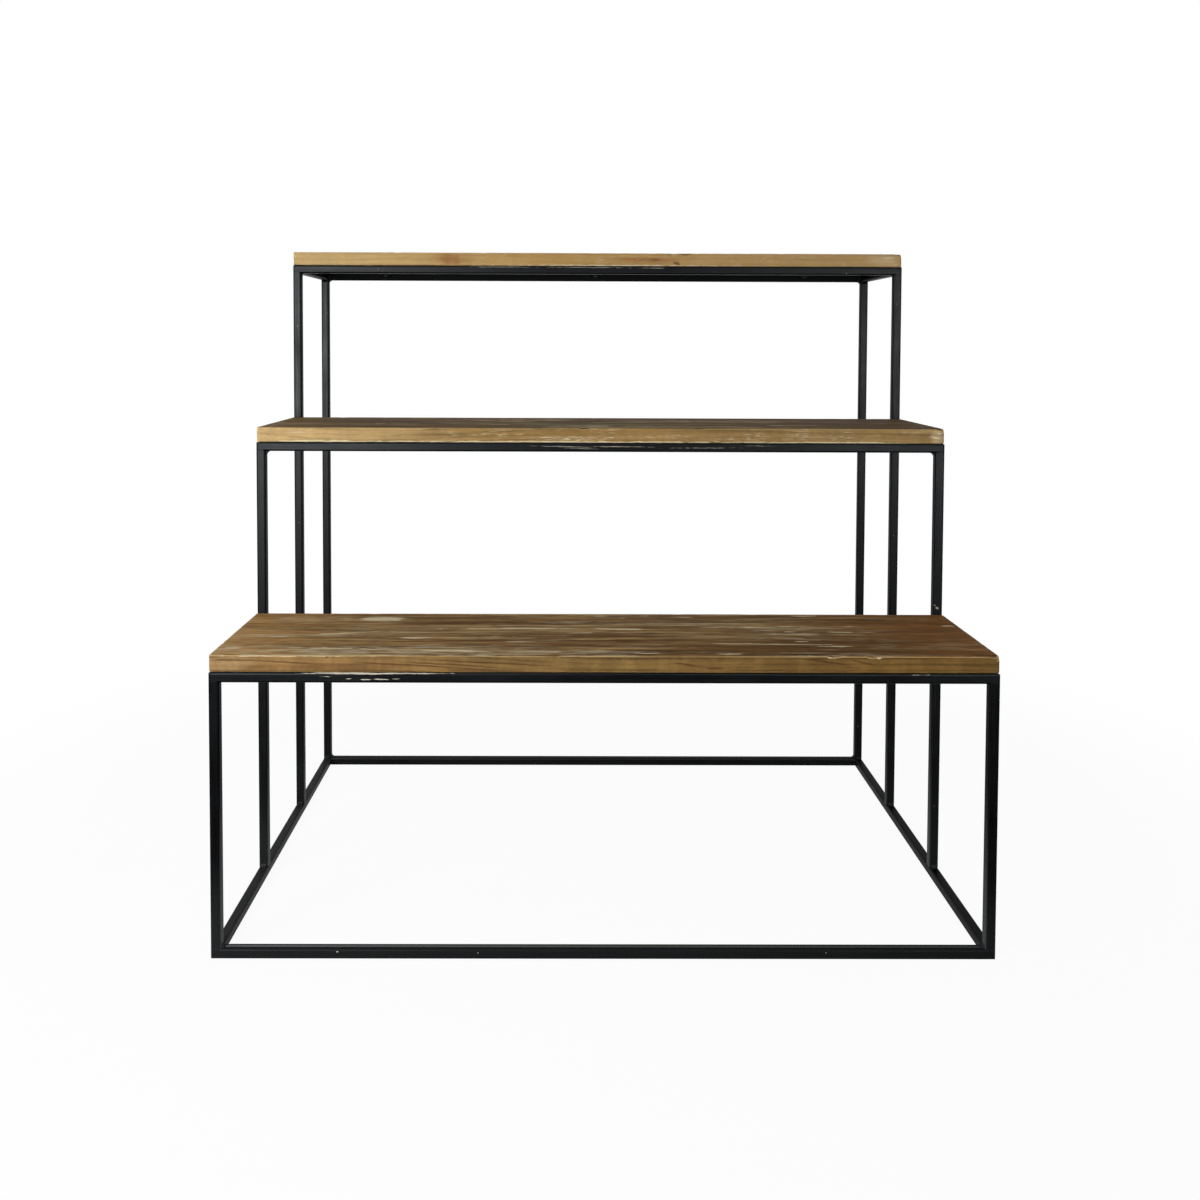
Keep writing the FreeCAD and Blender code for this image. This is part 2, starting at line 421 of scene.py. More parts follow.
    def ragged(
        self, marks: Signal, grain: Signal, low: float = 0.5, high: float = 0.95, bite: float = 3.6
    ) -> Signal:
        """Soft marks broken up by the grain, as paint that stays in the pores.

        Args:
            marks: The soft marks.
            grain: A random pattern of the grain.
            low: Level at which paint starts to show.
            high: Level at which it covers.
            bite: How deeply the grain cuts into the marks.

        Returns:
            The cover, 0 to 1.
        """
        inside = self.step(marks, 0.02, 0.25)
        return self.step(marks * 1.25 + (grain - 0.5) * bite, low, high) * inside

    def bump(self, height: Signal, depth: float) -> Signal:
        """The normal of a rough surface.

        Args:
            height: Height of the surface, 0 to 1.
            depth: The depth from 0 to 1.

        Returns:
            The normal for a shader.
        """
        return self.node(
            "ShaderNodeBump", {}, {"Strength": 1.0, "Distance": depth, "Height": height}
        )

    def finish(
        self, constants: Mapping[str, object], varying: Mapping[str, Signal]
    ) -> bpy.types.Material:
        """Closes the material with its shader.

        Args:
            constants: Values that are the same all over.
            varying: What changes over the surface.

        Returns:
            The finished material.
        """
        inputs = dict(constants)
        inputs.update(varying)
        surface = self.node("ShaderNodeBsdfPrincipled", {}, inputs)
        self.node_output(surface)
        return self.material

    def node_output(self, surface: Signal) -> None:
        """Links a shader to the material's output."""
        output = self.tree.nodes.new("ShaderNodeOutputMaterial")
        self.tree.links.new(surface.socket, output.inputs["Surface"])


@dataclass(frozen=True)
class WoodFinish:
    """A stained and whitewashed softwood plank, cut from one log.

    Attributes:
        tier: The shelf it belongs to.
        slot: The record's material slot.
        low: Lowest corner of the plank.
        high: Highest corner of the plank.
        stain_dark: Darkest stain on the top, and in the red places of the front edge.
        stain_mid: Usual stain on the top.
        stain_light: Lightest stain on the top.
        contrast: Strength of the figure of the top.
        end_left: Stain at the left end of the top.
        end_right: Stain at the right end of the top.
        edge_left: Colour of the front edge at its left end.
        edge_middle: Colour of the front edge at its middle.
        edge_right: Colour of the front edge at its right end.
        edge_pale: Colour of the pale places on the front edge.
        arris: Colour of the painted highlight along the rounded line between top and edge.
        mottling: Strength of the upright mottles on the edges.
        figure: Strength of the grain on the edges.
        wash: Colour of the whitewash left in the grain.
        wash_cover: Share of the top that the loose whitewash covers.
        edge_wash: Strength of the whitewash specks on the edges.
        pith: Place of the heart of the log, across and up from the plank's lower front edge.
        ring: Distance between two growth rings.
        drop: How far the rings sink along the plank's middle, which makes sweeping lines.
        shift: Moves all random patterns, so that no two planks are alike.
        top_smears: Marks of whitewash on the top.
        edge_smears: Marks of whitewash on the front edge.
        edge_stains: Redder places on the front edge.
        edge_pales: Pale places on the front edge.
        knots: Dark knots on the front edge.
        top_stains: Dark red places on the top.
        top_pales: Pale places on the top.
        deep: Stain of the dark red places of the top, where it has any.
        knot: Colour of the knots.
        gloss: How strongly the wood shines.
        pore_depth: Depth of the pores that the light picks out.
        sweep: Where along the stand the rings start to sink, and where they are fully sunk.
        lively: Where along the stand the whitewash specks of the edge start, and where all show.
        behind: How far behind the middle of the top the loose whitewash starts to thin out, and
            where it is thinnest.
    """

    tier: Tier
    slot: str
    low: Triple
    high: Triple
    stain_dark: Colour
    stain_mid: Colour
    stain_light: Colour
    contrast: float
    end_left: Colour
    end_right: Colour
    edge_left: Colour
    edge_middle: Colour
    edge_right: Colour
    edge_pale: Colour
    arris: Colour
    mottling: float
    figure: float
    wash: Colour
    wash_cover: float
    edge_wash: float
    pith: Pair
    ring: float
    drop: float
    shift: float
    top_smears: tuple[Smear, ...]
    edge_smears: tuple[Smear, ...]
    edge_stains: tuple[Smear, ...]
    edge_pales: tuple[Smear, ...]
    knots: tuple[Smear, ...]
    top_stains: tuple[Smear, ...] = ()
    top_pales: tuple[Smear, ...] = ()
    deep: Colour = BLACK
    knot: Colour = shade(74, 46, 24)
    gloss: float = 0.02
    pore_depth: float = 0.25 * MM
    sweep: Pair = (-230 * MM, 10 * MM)
    lively: Pair = (-260 * MM, -120 * MM)
    behind: Pair = (22 * MM, 44 * MM)

    @property
    def half(self) -> float:
        """Half the plank's length."""
        return (self.high[0] - self.low[0]) / 2

    def seed(self, along: float = 0, across: float = 0, up: float = 0) -> Triple:
        """The plank's own place in a random pattern, moved on by whole blotches."""
        return (self.shift + along, self.shift + across, self.shift + up)

    def marks(self, bench: Bench, marks: Sequence[Smear], face: Face, waver: float) -> Signal:
        """Marks on one face of the plank.

        Args:
            bench: The material in the making.
            marks: The marks.
            face: The face they lie on.
            waver: How far their outlines waver, in millimetres.

        Returns:
            The sum of their strengths.
        """
        foot = self.high[2] if face is Face.TOP else self.low[2]
        return bench.smears(marks, face, (self.low[1], foot), waver)

    def rings(self, bench: Bench) -> Signal:
        """The growth rings as a sawtooth of 0 to 1 from the start to the end of each year.

        Args:
            bench: The material in the making.

        Returns:
            The sawtooth.
        """
        sweep = bench.step(bench.along, *self.sweep)
        slow = bench.noise((420, 90, 60), self.seed(), detail=1.0)
        quick = bench.noise((70, 12, 9), self.seed(), detail=2.0)
        sway = (slow - 0.5) * (26 * MM) + (quick - 0.5) * (2.4 * MM)
        across = bench.across - (self.low[1] + self.pith[0]) + sway
        up = bench.up - (self.low[2] + self.pith[1]) + sweep * self.drop + sway * 0.6
        reach = bench.length(bench.join(0.0, across, up))
        return (reach * (1 / self.ring)).fraction()

    def top_colour(self, bench: Bench, late: Signal, fibre: Signal) -> Signal:
        """The stained top: dark and light bands along the grain, redder to the right.

        Args:
            bench: The material in the making.
            late: Where the dark late wood of a year lies.
            fibre: The finest pattern of the grain.

        Returns:
            The colour.
        """
        band = bench.noise((340, 17, 12), self.seed(), detail=3.0, rough=0.6)
        fleck = bench.noise((120, 8, 5), self.seed(), detail=4.0, rough=0.65)
        vein = bench.noise((300, 7, 6), self.seed(across=2), detail=3.0, rough=0.55)
        thread = bench.noise((420, 12, 9), self.seed(across=8), detail=2.0)
        grit = bench.noise((17, 4.5, 4), self.seed(across=4), detail=2.0)
        colour = bench.blend(bench.step(band, 0.38, 0.57), self.stain_dark, self.stain_mid)
        at_left = bench.step(bench.along * -1.0, 0.62 * self.half, 1.0 * self.half) * 0.7
        at_right = bench.step(bench.along, 0.3 * self.half, 0.9 * self.half) * 0.75
        colour = bench.blend(at_left, colour, self.end_left)
        colour = bench.blend(bench.step(fleck, 0.5, 0.64) * 0.6, colour, self.stain_light)
        colour = bench.blend(at_right, colour, self.end_right)
        for marks, share, stain in (
            (self.top_pales, 0.4, self.stain_light),
            (self.top_stains, 0.85, self.deep),
        ):
            if marks:
                there = self.marks(bench, marks, Face.TOP, 6)
                colour = bench.blend(bench.step(there, 0.05, 0.9) * share, colour, stain)
        dark_threads = bench.wisps(thread, 0.1) * bench.step(vein, 0.42, 0.56)
        tone = 1.1 * (fibre - 0.5) + 0.95 * (vein - 0.5) + 1.0 * (grit - 0.5)
        tone = tone - 0.18 * late - 0.26 * dark_threads
        return bench.dim(colour, 1.07 + tone * self.contrast)

    def edge_colour(self, bench: Bench, late: Signal, fibre: Signal) -> Signal:
        """The edge of the plank: growth rings as long lines, stains, pale places and mottling.

        Args:
            bench: The material in the making.
            late: Where the dark late wood of a year lies.
            fibre: The finest pattern of the grain.

        Returns:
            The colour.
        """
        band = bench.noise((150, 17, 7), self.seed(), detail=3.0, rough=0.55)
        mottle = bench.noise((17, 9, 30), self.seed(up=9), detail=2.0)
        left = bench.step(bench.along, -self.half, -0.1 * self.half)
        right = bench.step(bench.along, -0.25 * self.half, 0.8 * self.half)
        colour = bench.blend(left, self.edge_left, self.edge_middle)
        colour = bench.blend(right, colour, self.edge_right)
        stains = self.marks(bench, self.edge_stains, Face.FRONT, 3)
        colour = bench.blend(bench.step(stains, 0.05, 0.75) * 0.6, colour, self.stain_dark)
        pales = self.marks(bench, self.edge_pales, Face.FRONT, 3)
        colour = bench.blend(bench.step(pales, 0.05, 0.9) * 0.55, colour, self.edge_pale)
        golden = bench.dim(colour, 1.28)
        colour = bench.blend(bench.step(mottle, 0.42, 0.66) * self.mottling, colour, golden)
        lines = late * bench.step(bench.noise((140, 9, 9), self.seed()), 0.35, 0.6)
        tick = bench.noise((5, 1.6, 1.3), self.seed(across=3), detail=1.0)
        tone = 0.5 * (fibre - 0.5) + 0.6 * (band - 0.5) + 0.3 * (tick - 0.5) - 0.28 * lines
        return bench.dim(colour, 1.05 + tone * self.figure)

    def top_wash(self, bench: Bench, pores: Signal, patch: Signal) -> Signal:
        """The whitewash on the top: loose fibres, scarcer to the right and behind, and the marks.

        Args:
            bench: The material in the making.
            pores: The pattern that breaks the wash up.
            patch: Where the wash lies thicker.

        Returns:
            Its cover, 0 to 1.
        """
        loose = bench.noise((200, 7, 3), self.seed(along=7), detail=4.0, rough=0.62)
        thread = bench.noise((320, 12, 9), self.seed(along=2), detail=2.0, rough=0.6)
        chop = bench.noise((34, 4.5, 3), self.seed(along=1), detail=3.0, rough=0.65)
        least = 0.97 - self.wash_cover
        scattered = bench.step(loose + 0.7 * patch, least, least + 0.07) * 0.58
        threads = bench.wisps(thread, 0.07) * bench.step(patch, 0.42, 0.6) * 0.5
        back = bench.across - 0.5 * (self.low[1] + self.high[1])
        rightwards = bench.step(bench.along, -0.15 * self.half, 0.05 * self.half)
        behind = bench.step(back, *self.behind) * rightwards
        at_right = bench.step(bench.along, 0.45 * self.half, 0.85 * self.half)
        calm = 1 - (0.75 * at_right).highest(0.6 * behind)
        broken = scattered.highest(threads) * bench.step(chop + 0.4 * (pores - 0.5), 0.38, 0.58) * calm
        placed = self.marks(bench, self.top_smears, Face.TOP, 3)
        veil = bench.step(placed, 0.15, 1.0) * 0.28
        return broken.highest(veil).highest(bench.ragged(placed, chop, 0.6, 0.9, 3.0) * 0.95)

    def edge_cover(self, bench: Bench, patch: Signal) -> Signal:
        """The whitewash on the edge: fine specks, thinner to the left, and the marks.

        Args:
            bench: The material in the making.
            patch: Where the wash lies thicker.

        Returns:
            Its cover, 0 to 1.
        """
        speck = bench.noise((3.2, 1.2, 0.9), self.seed(across=5), detail=2.0, rough=0.6)
        dash = bench.noise((10, 1.3, 0.9), self.seed(across=6), detail=2.0)
        cloud = bench.noise((30, 20, 12), self.seed(up=2), detail=3.0)
        lively = bench.step(bench.along, *self.lively)
        thick = bench.step(cloud + 0.6 * (patch - 0.5), 0.42, 0.62) * (0.25 + 0.75 * lively)
        specks = (bench.step(speck, 0.58, 0.72) * 0.5).highest(bench.step(dash, 0.5, 0.68))
        marks = self.marks(bench, self.edge_smears, Face.FRONT, 0.9)
        return (specks * thick * self.edge_wash).highest(bench.ragged(marks, dash, 0.4, 0.9) * 0.75)

    def material(self) -> bpy.types.Material:
        """Makes the plank's material."""
        bench = Bench(self.slot)
        saw = self.rings(bench)
        late = bench.between(saw, (0.45, 0.93), (0.94, 1.0))
        fibre = bench.noise((60, 3.0, 1.1), self.seed(), detail=3.0, rough=0.6)
        hair = bench.noise((26, 0.5, 0.45), self.seed(), detail=2.0, rough=0.6)
        pores = bench.noise((26, 3.2, 0.9), self.seed(up=4), detail=3.0, rough=0.65)
        patch = bench.noise((210, 30, 30), self.seed(along=3), detail=2.0)

        upward = bench.facing()[2]
        is_top = bench.step(upward, 0.55, 0.85)
        top = self.top_colour(bench, late, fibre)
        edge = self.edge_colour(bench, late, fibre)
        wood = bench.blend(is_top, edge, top)
        # A painted highlight along the rounded line between top and edge.
        arris = bench.between(upward, (0.2, 0.45), (0.8, 0.93))
        wood = bench.blend(arris * bench.step(patch, 0.3, 0.5) * 0.55, wood, self.arris)
        cover = (self.top_wash(bench, pores, patch) * is_top).highest(
            self.edge_cover(bench, patch) * (1 - is_top)
        )
        colour = bench.blend(cover, wood, self.wash)
        knots = self.marks(bench, self.knots, Face.FRONT, 2)
        dark = bench.step(knots, 0.1, 0.7) * (1 - is_top)
        colour = bench.blend(dark * 0.7, colour, self.knot)

        rough = 0.66 + 0.14 * cover + 0.1 * (fibre - 0.5)
        height = 0.5 * fibre + 0.3 * hair - 0.25 * late + 0.3 * cover
        return bench.finish(
            {"Specular IOR Level": self.gloss},
            {
                "Base Color": colour,
                "Roughness": rough,
                "Normal": bench.bump(height, self.pore_depth),
            },
        )


# Colours of the black paint, its grey rub streaks and whitewash splashes, the painted highlights on its
# upper edges and top, and the painted light that the floor bounces onto it near its foot.
PAINT_DEEP = shade(2, 2, 3)
PAINT_THIN = shade(6, 7, 8)
PAINT_STREAK = shade(24, 25, 28)
PAINT_EDGE_HIGHLIGHT = shade(84, 86, 90)
PAINT_CREST_HIGHLIGHT = shade(104, 106, 106)
PAINT_SPLASH = shade(196, 188, 168)
BOUNCE_LIGHT_FRONT = shade(31, 32, 33)
BOUNCE_LIGHT_SIDE = shade(40, 41, 42)
BOUNCE_LIGHT_FLANK = shade(78, 79, 80)


@dataclass(frozen=True)
class PaintFinish:
    """Hand-rubbed black paint on steel tube.

    Attributes:
        name: Name of the material.
        run: The direction of the tube.
        smears: Worn places on the front of the tube, where it has any.
        corner: Depth of the tube's front face and height of its foot.
        lumps: Size of the paint's unevenness, larger on welds.
        cover: How much of the paint is gone in the worn places.
        dull_and_shaded: Whether it is the matt paint under the boards, with fewer streaks as painted
            shade.
        crest_highlight: How strongly a painted highlight lies along the middle of the upper face.
        gloss: How strongly it shines.
        bounce_heights: Height up to which the painted floor bounce light is strongest, and height where
            it ends.
        flank_bounce_heights: The same heights for the sides of uprights.
        crest_highlight_start: Where the painted top highlight starts behind the front, and where it is
            full.
        crest_highlight_end: Where the painted top highlight starts to end, and where it is gone.
    """

    name: str
    run: Run
    smears: tuple[Smear, ...] = ()
    corner: Pair = (0.0, 0.0)
    lumps: float = 0.05 * MM
    cover: float = 0.75
    dull_and_shaded: bool = False
    crest_highlight: float = 0.0
    gloss: float = PAINT_GLOSS
    bounce_heights: Pair = (15 * MM, 115 * MM)
    flank_bounce_heights: Pair = (15 * MM, 185 * MM)
    crest_highlight_start: Pair = (3.2 * MM, 4.2 * MM)
    crest_highlight_end: Pair = (6.0 * MM, 7.2 * MM)

    def paint_bounce_light(self, bench: Bench, colour: Signal, sideward: Signal) -> Signal:
        """Paints the light that the floor bounces onto the paint, strongest in front and on the left.

        Args:
            bench: The material in the making.
            colour: Colour of the clean paint.
            sideward: How far the surface faces to the right.

        Returns:
            The colour with its painted bounce light.
        """
        # Painted light: lighter near the floor, where the floor bounces light onto it, and lighter on
        # the left, where the light comes from.
        half_width, front, rear = footprint()
        side = bench.along * (1 / half_width)
        foot = 1 - bench.step(bench.up, *self.bounce_heights)
        if self.run is Run.ACROSS:
            return bench.blend(foot * (0.5 - 0.5 * side), colour, BOUNCE_LIGHT_SIDE)
        near = 1 - 0.75 * bench.step(bench.across, front, rear)
        share = near * (0.8 - 0.2 * side)
        bounce_lit = bench.blend(foot * share, colour, BOUNCE_LIGHT_FRONT)
        if self.run is Run.UPRIGHT:
            flank = bench.step(sideward.unsigned(), 0.5, 0.8)
            shin = 1 - bench.step(bench.up, *self.flank_bounce_heights)
            bounce_lit = bench.blend(flank * shin * share, bounce_lit, BOUNCE_LIGHT_FLANK)
        return bounce_lit

    def rubbed(self, bench: Bench, colour: Signal, upward: Signal, rub: Signal) -> Signal:
        """Paints grey highlights where light from above catches the upper edges and the middle of the
        top.

        Args:
            bench: The material in the making.
            colour: Colour of the paint.
            upward: How far the surface faces up.
            rub: The pattern of the rub marks.

        Returns:
            The colour with the painted highlights.
        """
        # Painted highlight on the upper rounded edges, varied by the rub pattern.
        edge = bench.between(upward, (0.3, 0.55), (0.8, 0.93))
        edge = edge * (0.15 * (1 - self.crest_highlight)) * (0.4 + 1.2 * rub)
        colour = bench.blend(edge, colour, PAINT_EDGE_HIGHLIGHT)
        if not self.crest_highlight:
            return colour
        # Painted highlight along the middle of the upper face, fading to the right as the light does.
        side = bench.along * (1 / footprint()[0])
        back = bench.across - self.corner[0]
        line = bench.between(back, self.crest_highlight_start, self.crest_highlight_end)
        line = line * bench.step(upward, 0.9, 0.98) * (0.65 - 0.35 * side)
        return bench.blend(line * self.crest_highlight * (0.6 + 0.8 * rub), colour, PAINT_CREST_HIGHLIGHT)

    def worn(self, bench: Bench) -> Signal:
        """How far pale specks, scratches and splashes of whitewash cover the paint."""
        cells = {"Vector": bench.shifted((9, 9, 9)), "Scale": 1.0}
        spot = bench.node("ShaderNodeTexVoronoi", {"feature": "F1"}, cells)
        chosen = bench.node("ShaderNodeTexVoronoi", {"feature": "F1"}, cells, "Color")
        pick = bench.step(bench.split(chosen)[0], 0.955, 0.965)
        specks = (1 - bench.step(spot, 0.03, 0.06)) * pick * 0.8
        if not self.smears:
            return specks
        marks = bench.smears(self.smears, Face.FRONT, self.corner, 1.2)
        broken = bench.noise((7, 0.8, 0.55), (2, 2, 2), detail=4.0, rough=0.7)
        return specks.highest(bench.ragged(marks, broken) * self.cover)

    def material(self) -> bpy.types.Material:
        """Makes the paint."""
        bench = Bench(self.name)
        long, wide = 90, 1.6
        size = {
            Run.ALONG: (long, wide, wide),
            Run.ACROSS: (wide, long, wide),
            Run.UPRIGHT: (wide, wide, long),
        }[self.run]
        rub = bench.noise(size, detail=4.0, rough=0.6)
        cloud = bench.noise((40, 40, 40), (3, 1, 4), detail=3.0)
        skin = bench.noise((1.1, 1.1, 1.1), detail=2.0)
        sideward, _, upward = bench.facing()
        colour = bench.blend(bench.step(cloud, 0.35, 0.68), PAINT_DEEP, PAINT_THIN)
        # The matt paint is rougher, and its fewer grey streaks darken the parts under the boards as
        # painted shade.
        streaks = bench.step(rub, 0.56, 0.78) * (0.1 if self.dull_and_shaded else 0.5)
        colour = bench.blend(streaks, colour, PAINT_STREAK)
        colour = self.paint_bounce_light(bench, colour, sideward)
        colour = self.rubbed(bench, colour, upward, rub)
        wear = self.worn(bench)
        colour = bench.blend(wear, colour, PAINT_SPLASH)
        base_rough = 0.75 if self.dull_and_shaded else 0.4
        rough = base_rough + 0.25 * (rub - 0.5) + 0.2 * (cloud - 0.5) + 0.3 * wear
        height = 0.6 * rub + 0.4 * skin + 0.5 * wear
        return bench.finish(
            {"Specular IOR Level": self.gloss},
            {"Base Color": colour, "Roughness": rough, "Normal": bench.bump(height, self.lumps)},
        )


@dataclass(frozen=True)
class ZincFinish:
    """Black zinc plating on the wood screws.

    Attributes:
        name: Name of the material.
        dark: Its darkest colour.
        light: Its lightest colour.
        lumps: Size of its unevenness.
    """

    name: str = "screw_plating"
    dark: Colour = shade(9, 9, 10)
    light: Colour = shade(20, 20, 22)
    lumps: float = 0.02 * MM

    def material(self) -> bpy.types.Material:
        """Makes the plating."""
        bench = Bench(self.name)
        cloud = bench.noise((3, 3, 3), detail=3.0)
        colour = bench.blend(cloud, self.dark, self.light)
        return bench.finish(
            {"Metallic": 1.0},
            {
                "Base Color": colour,
                "Roughness": 0.5 + 0.3 * cloud,
                "Normal": bench.bump(cloud, self.lumps),
            },
        )


def reshape(piece: bpy.types.Object, kind: str, settings: Mapping[str, object]) -> None:
    """Gives a piece a modifier and applies it.

    Args:
        piece: The object, which has to be the active one.
        kind: Type of the modifier.
        settings: Its settings.
    """
    bpy.ops.object.modifier_add(type=kind)
    modifier = piece.modifiers[-1]
    for key, value in settings.items():
        setattr(modifier, key, value)
    bpy.ops.object.modifier_apply(modifier=modifier.name)


@dataclass(frozen=True)
class Relief:
    """A soft random relief of a surface, in millimetres.

    Attributes:
        size: Size of its blotches, along, across and up.
        depth: How far the surface moves from one extreme to the other; inwards if below zero.
        middle: Level of the pattern, 0 to 1, that stays where it is.
        floor: Level of the pattern below which nothing moves, for separate nicks.
    """

    size: Triple
    depth: float
    middle: float = 0.5
    floor: float = 0.0

    def apply(self, piece: bpy.types.Object, group: str = "") -> None:
        """Moves the surface of a piece in and out, and keeps the new shape.

        Args:
            piece: The object.
            group: Vertex group that limits the move.
        """
        texture = bpy.data.textures.new("pattern", "CLOUDS")
        texture.noise_scale = 1.0
        texture.noise_depth = 2
        if self.floor > 0:
            texture.use_color_ramp = True
            ramp = texture.color_ramp
            ramp.elements[0].position = self.floor
            ramp.elements[0].color = BLACK
            ramp.elements[1].position = min(1.0, self.floor + NICK_SLOPE)
            ramp.elements[1].color = WHITE
        bpy.ops.object.empty_add(location=(0, 0, 0))
        guide = bpy.context.object
        guide.scale = tuple(part * MM for part in self.size)
        bpy.context.view_layer.update()
        bpy.ops.object.select_all(action="DESELECT")
        bpy.context.view_layer.objects.active = piece
        piece.select_set(True)
        settings = {
            "texture": texture,
            "texture_coords": "OBJECT",
            "texture_coords_object": guide,
            "strength": self.depth * MM,
            "mid_level": self.middle,
            "vertex_group": group,
        }
        reshape(piece, "DISPLACE", settings)
        bpy.data.objects.remove(guide)
        bpy.data.textures.remove(texture)


def select_mesh(action: str) -> None:
    """Selects or deselects every vertex, edge and face of the piece in edit mode."""
    bpy.ops.mesh.select_all(action=action)


def start_piece(name: str) -> None:
    """Names the active object, makes it the only selected one and opens its mesh."""
    piece = bpy.context.object
    piece.name = name
    piece.data.name = name
    bpy.ops.object.select_all(action="DESELECT")
    piece.select_set(True)
    bpy.ops.object.mode_set(mode="EDIT")


def pick_edges(piece: bpy.types.Object, test: Callable[[Vector, Vector], bool]) -> None:
    """Selects in edit mode the edges whose two ends pass a test.

    Args:
        piece: The object in edit mode.
        test: Takes the two ends and says whether the edge is wanted.
    """
    bpy.ops.mesh.select_mode(type="EDGE")
    select_mesh("DESELECT")
    bpy.ops.object.mode_set(mode="OBJECT")
    mesh = piece.data
    for edge in mesh.edges:
        first, second = (mesh.vertices[i].co for i in edge.vertices)
        if test(first, second):
            edge.select = True
    bpy.ops.object.mode_set(mode="EDIT")


def weigh(piece: bpy.types.Object, name: str, weight: Callable[[Vector], float]) -> None:
    """Gives the vertices of a piece a weight by their place.

    Args:
        piece: The object.
        name: Name of the vertex group.
        weight: Takes a vertex's place and gives its weight.
    """
    group = piece.vertex_groups.new(name=name)
    for vertex in piece.data.vertices:
        value = weight(vertex.co)
        if value > 0:
            group.add([vertex.index], value, "REPLACE")


@dataclass(frozen=True)
class Chip:
    """A place on a plank's top front edge that is knocked off, in millimetres.

    Attributes:
        along: Its place, to the right of the stand's middle.
        size: Its width.
    """

    along: float
    size: float


@dataclass
class Plank:
    """One board of the stand, remodelled with worn edges and raised grain.

    Attributes:
        finish: Its finish, which also gives its place.
        chips: The knocks in its top front edge.
        corner: Radius of its corners in plan.
        corner_steps: Facets of each corner.
        margin: Width of the rim that the corner curves lie in.
        arris: Width of the softened edges.
        arris_steps: Facets of each softened edge.
        rim: How far the nicks reach from an edge.
        columns: Cuts along the plank.
        rows: Cuts across the plank.
        layers: Cuts through its thickness.
        grain: The raised grain.
        warp: The slow unevenness of the faces.
        nicks: The small nicks of the edges.
        chip_inwards: How far a chip goes in, as a share of its width.
        chip_downwards: How far a chip goes down, as a share of its width.
        piece: The finished object.
    """

    finish: WoodFinish
    chips: tuple[Chip, ...]
    corner: float = 3.0 * MM
    corner_steps: int = 5
    margin: float = 3.3 * MM
    arris: float = 0.9 * MM
    arris_steps: int = 3
    rim: float = 2.4 * MM
    columns: int = 187
    rows: int = 119
    layers: int = 9
    grain: Relief = Relief((150, 2.4, 2.4), 0.22)
    warp: Relief = Relief((330, 60, 60), 0.2)
    nicks: Relief = Relief((11, 5, 5), -0.9, middle=0.0, floor=0.6)
    chip_inwards: float = 0.35
    chip_downwards: float = 0.45
    piece: bpy.types.Object = field(init=False)

    def build(self) -> None:
        """Models the plank in the place of its CAD node."""
        low, high = self.finish.low, self.finish.high
        middle = tuple((a + b) / 2 for a, b in zip(low, high))
        size = tuple(b - a for a, b in zip(low, high))
        bpy.ops.object.select_all(action="DESELECT")
        bpy.ops.mesh.primitive_cube_add(size=1, location=middle, scale=size)
        bpy.ops.object.transform_apply(location=True, rotation=True, scale=True)
        self.piece = bpy.context.object
        start_piece(f"{self.finish.tier.value}_plank")
        self.cut_outline()
        self.cut_grid()
        self.soften_rim()
        bpy.ops.object.mode_set(mode="OBJECT")
        self.wear()
        bpy.ops.object.shade_smooth_by_angle(angle=CREASE_ANGLE)

    def cut_outline(self) -> None:
        """Marks the rim of the plank and rounds its four corners."""
        low, high = self.finish.low, self.finish.high
        for axis, normal in enumerate(((1, 0, 0), (0, 1, 0))):
            for place in (low[axis] + self.margin, high[axis] - self.margin):
                point = [0.0, 0.0, 0.0]
                point[axis] = place
                select_mesh("SELECT")
                bpy.ops.mesh.bisect(plane_co=point, plane_no=normal)
        tall = (high[2] - low[2]) / 2

        def at_corner(a: Vector, b: Vector) -> bool:
            """Whether an edge is one of the four upright corner edges."""
            outside_x = min(a.x - low[0], high[0] - a.x) < SAME_PLACE
            outside_y = min(a.y - low[1], high[1] - a.y) < SAME_PLACE
            return abs(a.z - b.z) > tall and outside_x and outside_y

        pick_edges(self.piece, at_corner)
        bpy.ops.mesh.bevel(offset=self.corner, segments=self.corner_steps, affect="EDGES")

    def cut_grid(self) -> None:
        """Divides the plank finely, so that grain and nicks have room."""
        long, wide, tall = ((b - a) / 2 for a, b in zip(self.finish.low, self.finish.high))
        pick_edges(self.piece, lambda a, b: abs(a.z - b.z) > tall)
        bpy.ops.mesh.subdivide(number_cuts=self.layers)
        pick_edges(self.piece, lambda a, b: abs(a.x - b.x) > long)
        bpy.ops.mesh.subdivide(number_cuts=self.columns)
        pick_edges(self.piece, lambda a, b: abs(a.y - b.y) > wide)
        bpy.ops.mesh.subdivide(number_cuts=self.rows)

    def soften_rim(self) -> None:
        """Rounds the long edges round the top and the underside."""
        bpy.ops.mesh.select_mode(type="EDGE")
        select_mesh("DESELECT")
        bpy.ops.mesh.edges_select_sharp(sharpness=SHARP_ANGLE)
        bpy.ops.mesh.bevel(
            offset=self.arris, segments=self.arris_steps, affect="EDGES", clamp_overlap=True
        )

    def wear(self) -> None:
        """Raises the grain, nicks the edges and knocks off the chips."""
        low, high = self.finish.low, self.finish.high

        def near_rim(place: Vector) -> float:
            """How near a place lies to the edge round the top or underside."""
            to_side = min(place.x - low[0], high[0] - place.x, place.y - low[1], high[1] - place.y)
            to_face = min(high[2] - place.z, place.z - low[2])
            return max(0.0, 1 - math.hypot(max(0.0, to_side), max(0.0, to_face)) / self.rim)

        weigh(self.piece, "rim", near_rim)
        self.grain.apply(self.piece)
        self.warp.apply(self.piece)
        self.nicks.apply(self.piece, "rim")
        bpy.ops.object.mode_set(mode="EDIT")
        for chip in self.chips:
            self.knock_off(chip.size * MM, Vector((chip.along * MM, low[1], high[2])))
        bpy.ops.object.mode_set(mode="OBJECT")

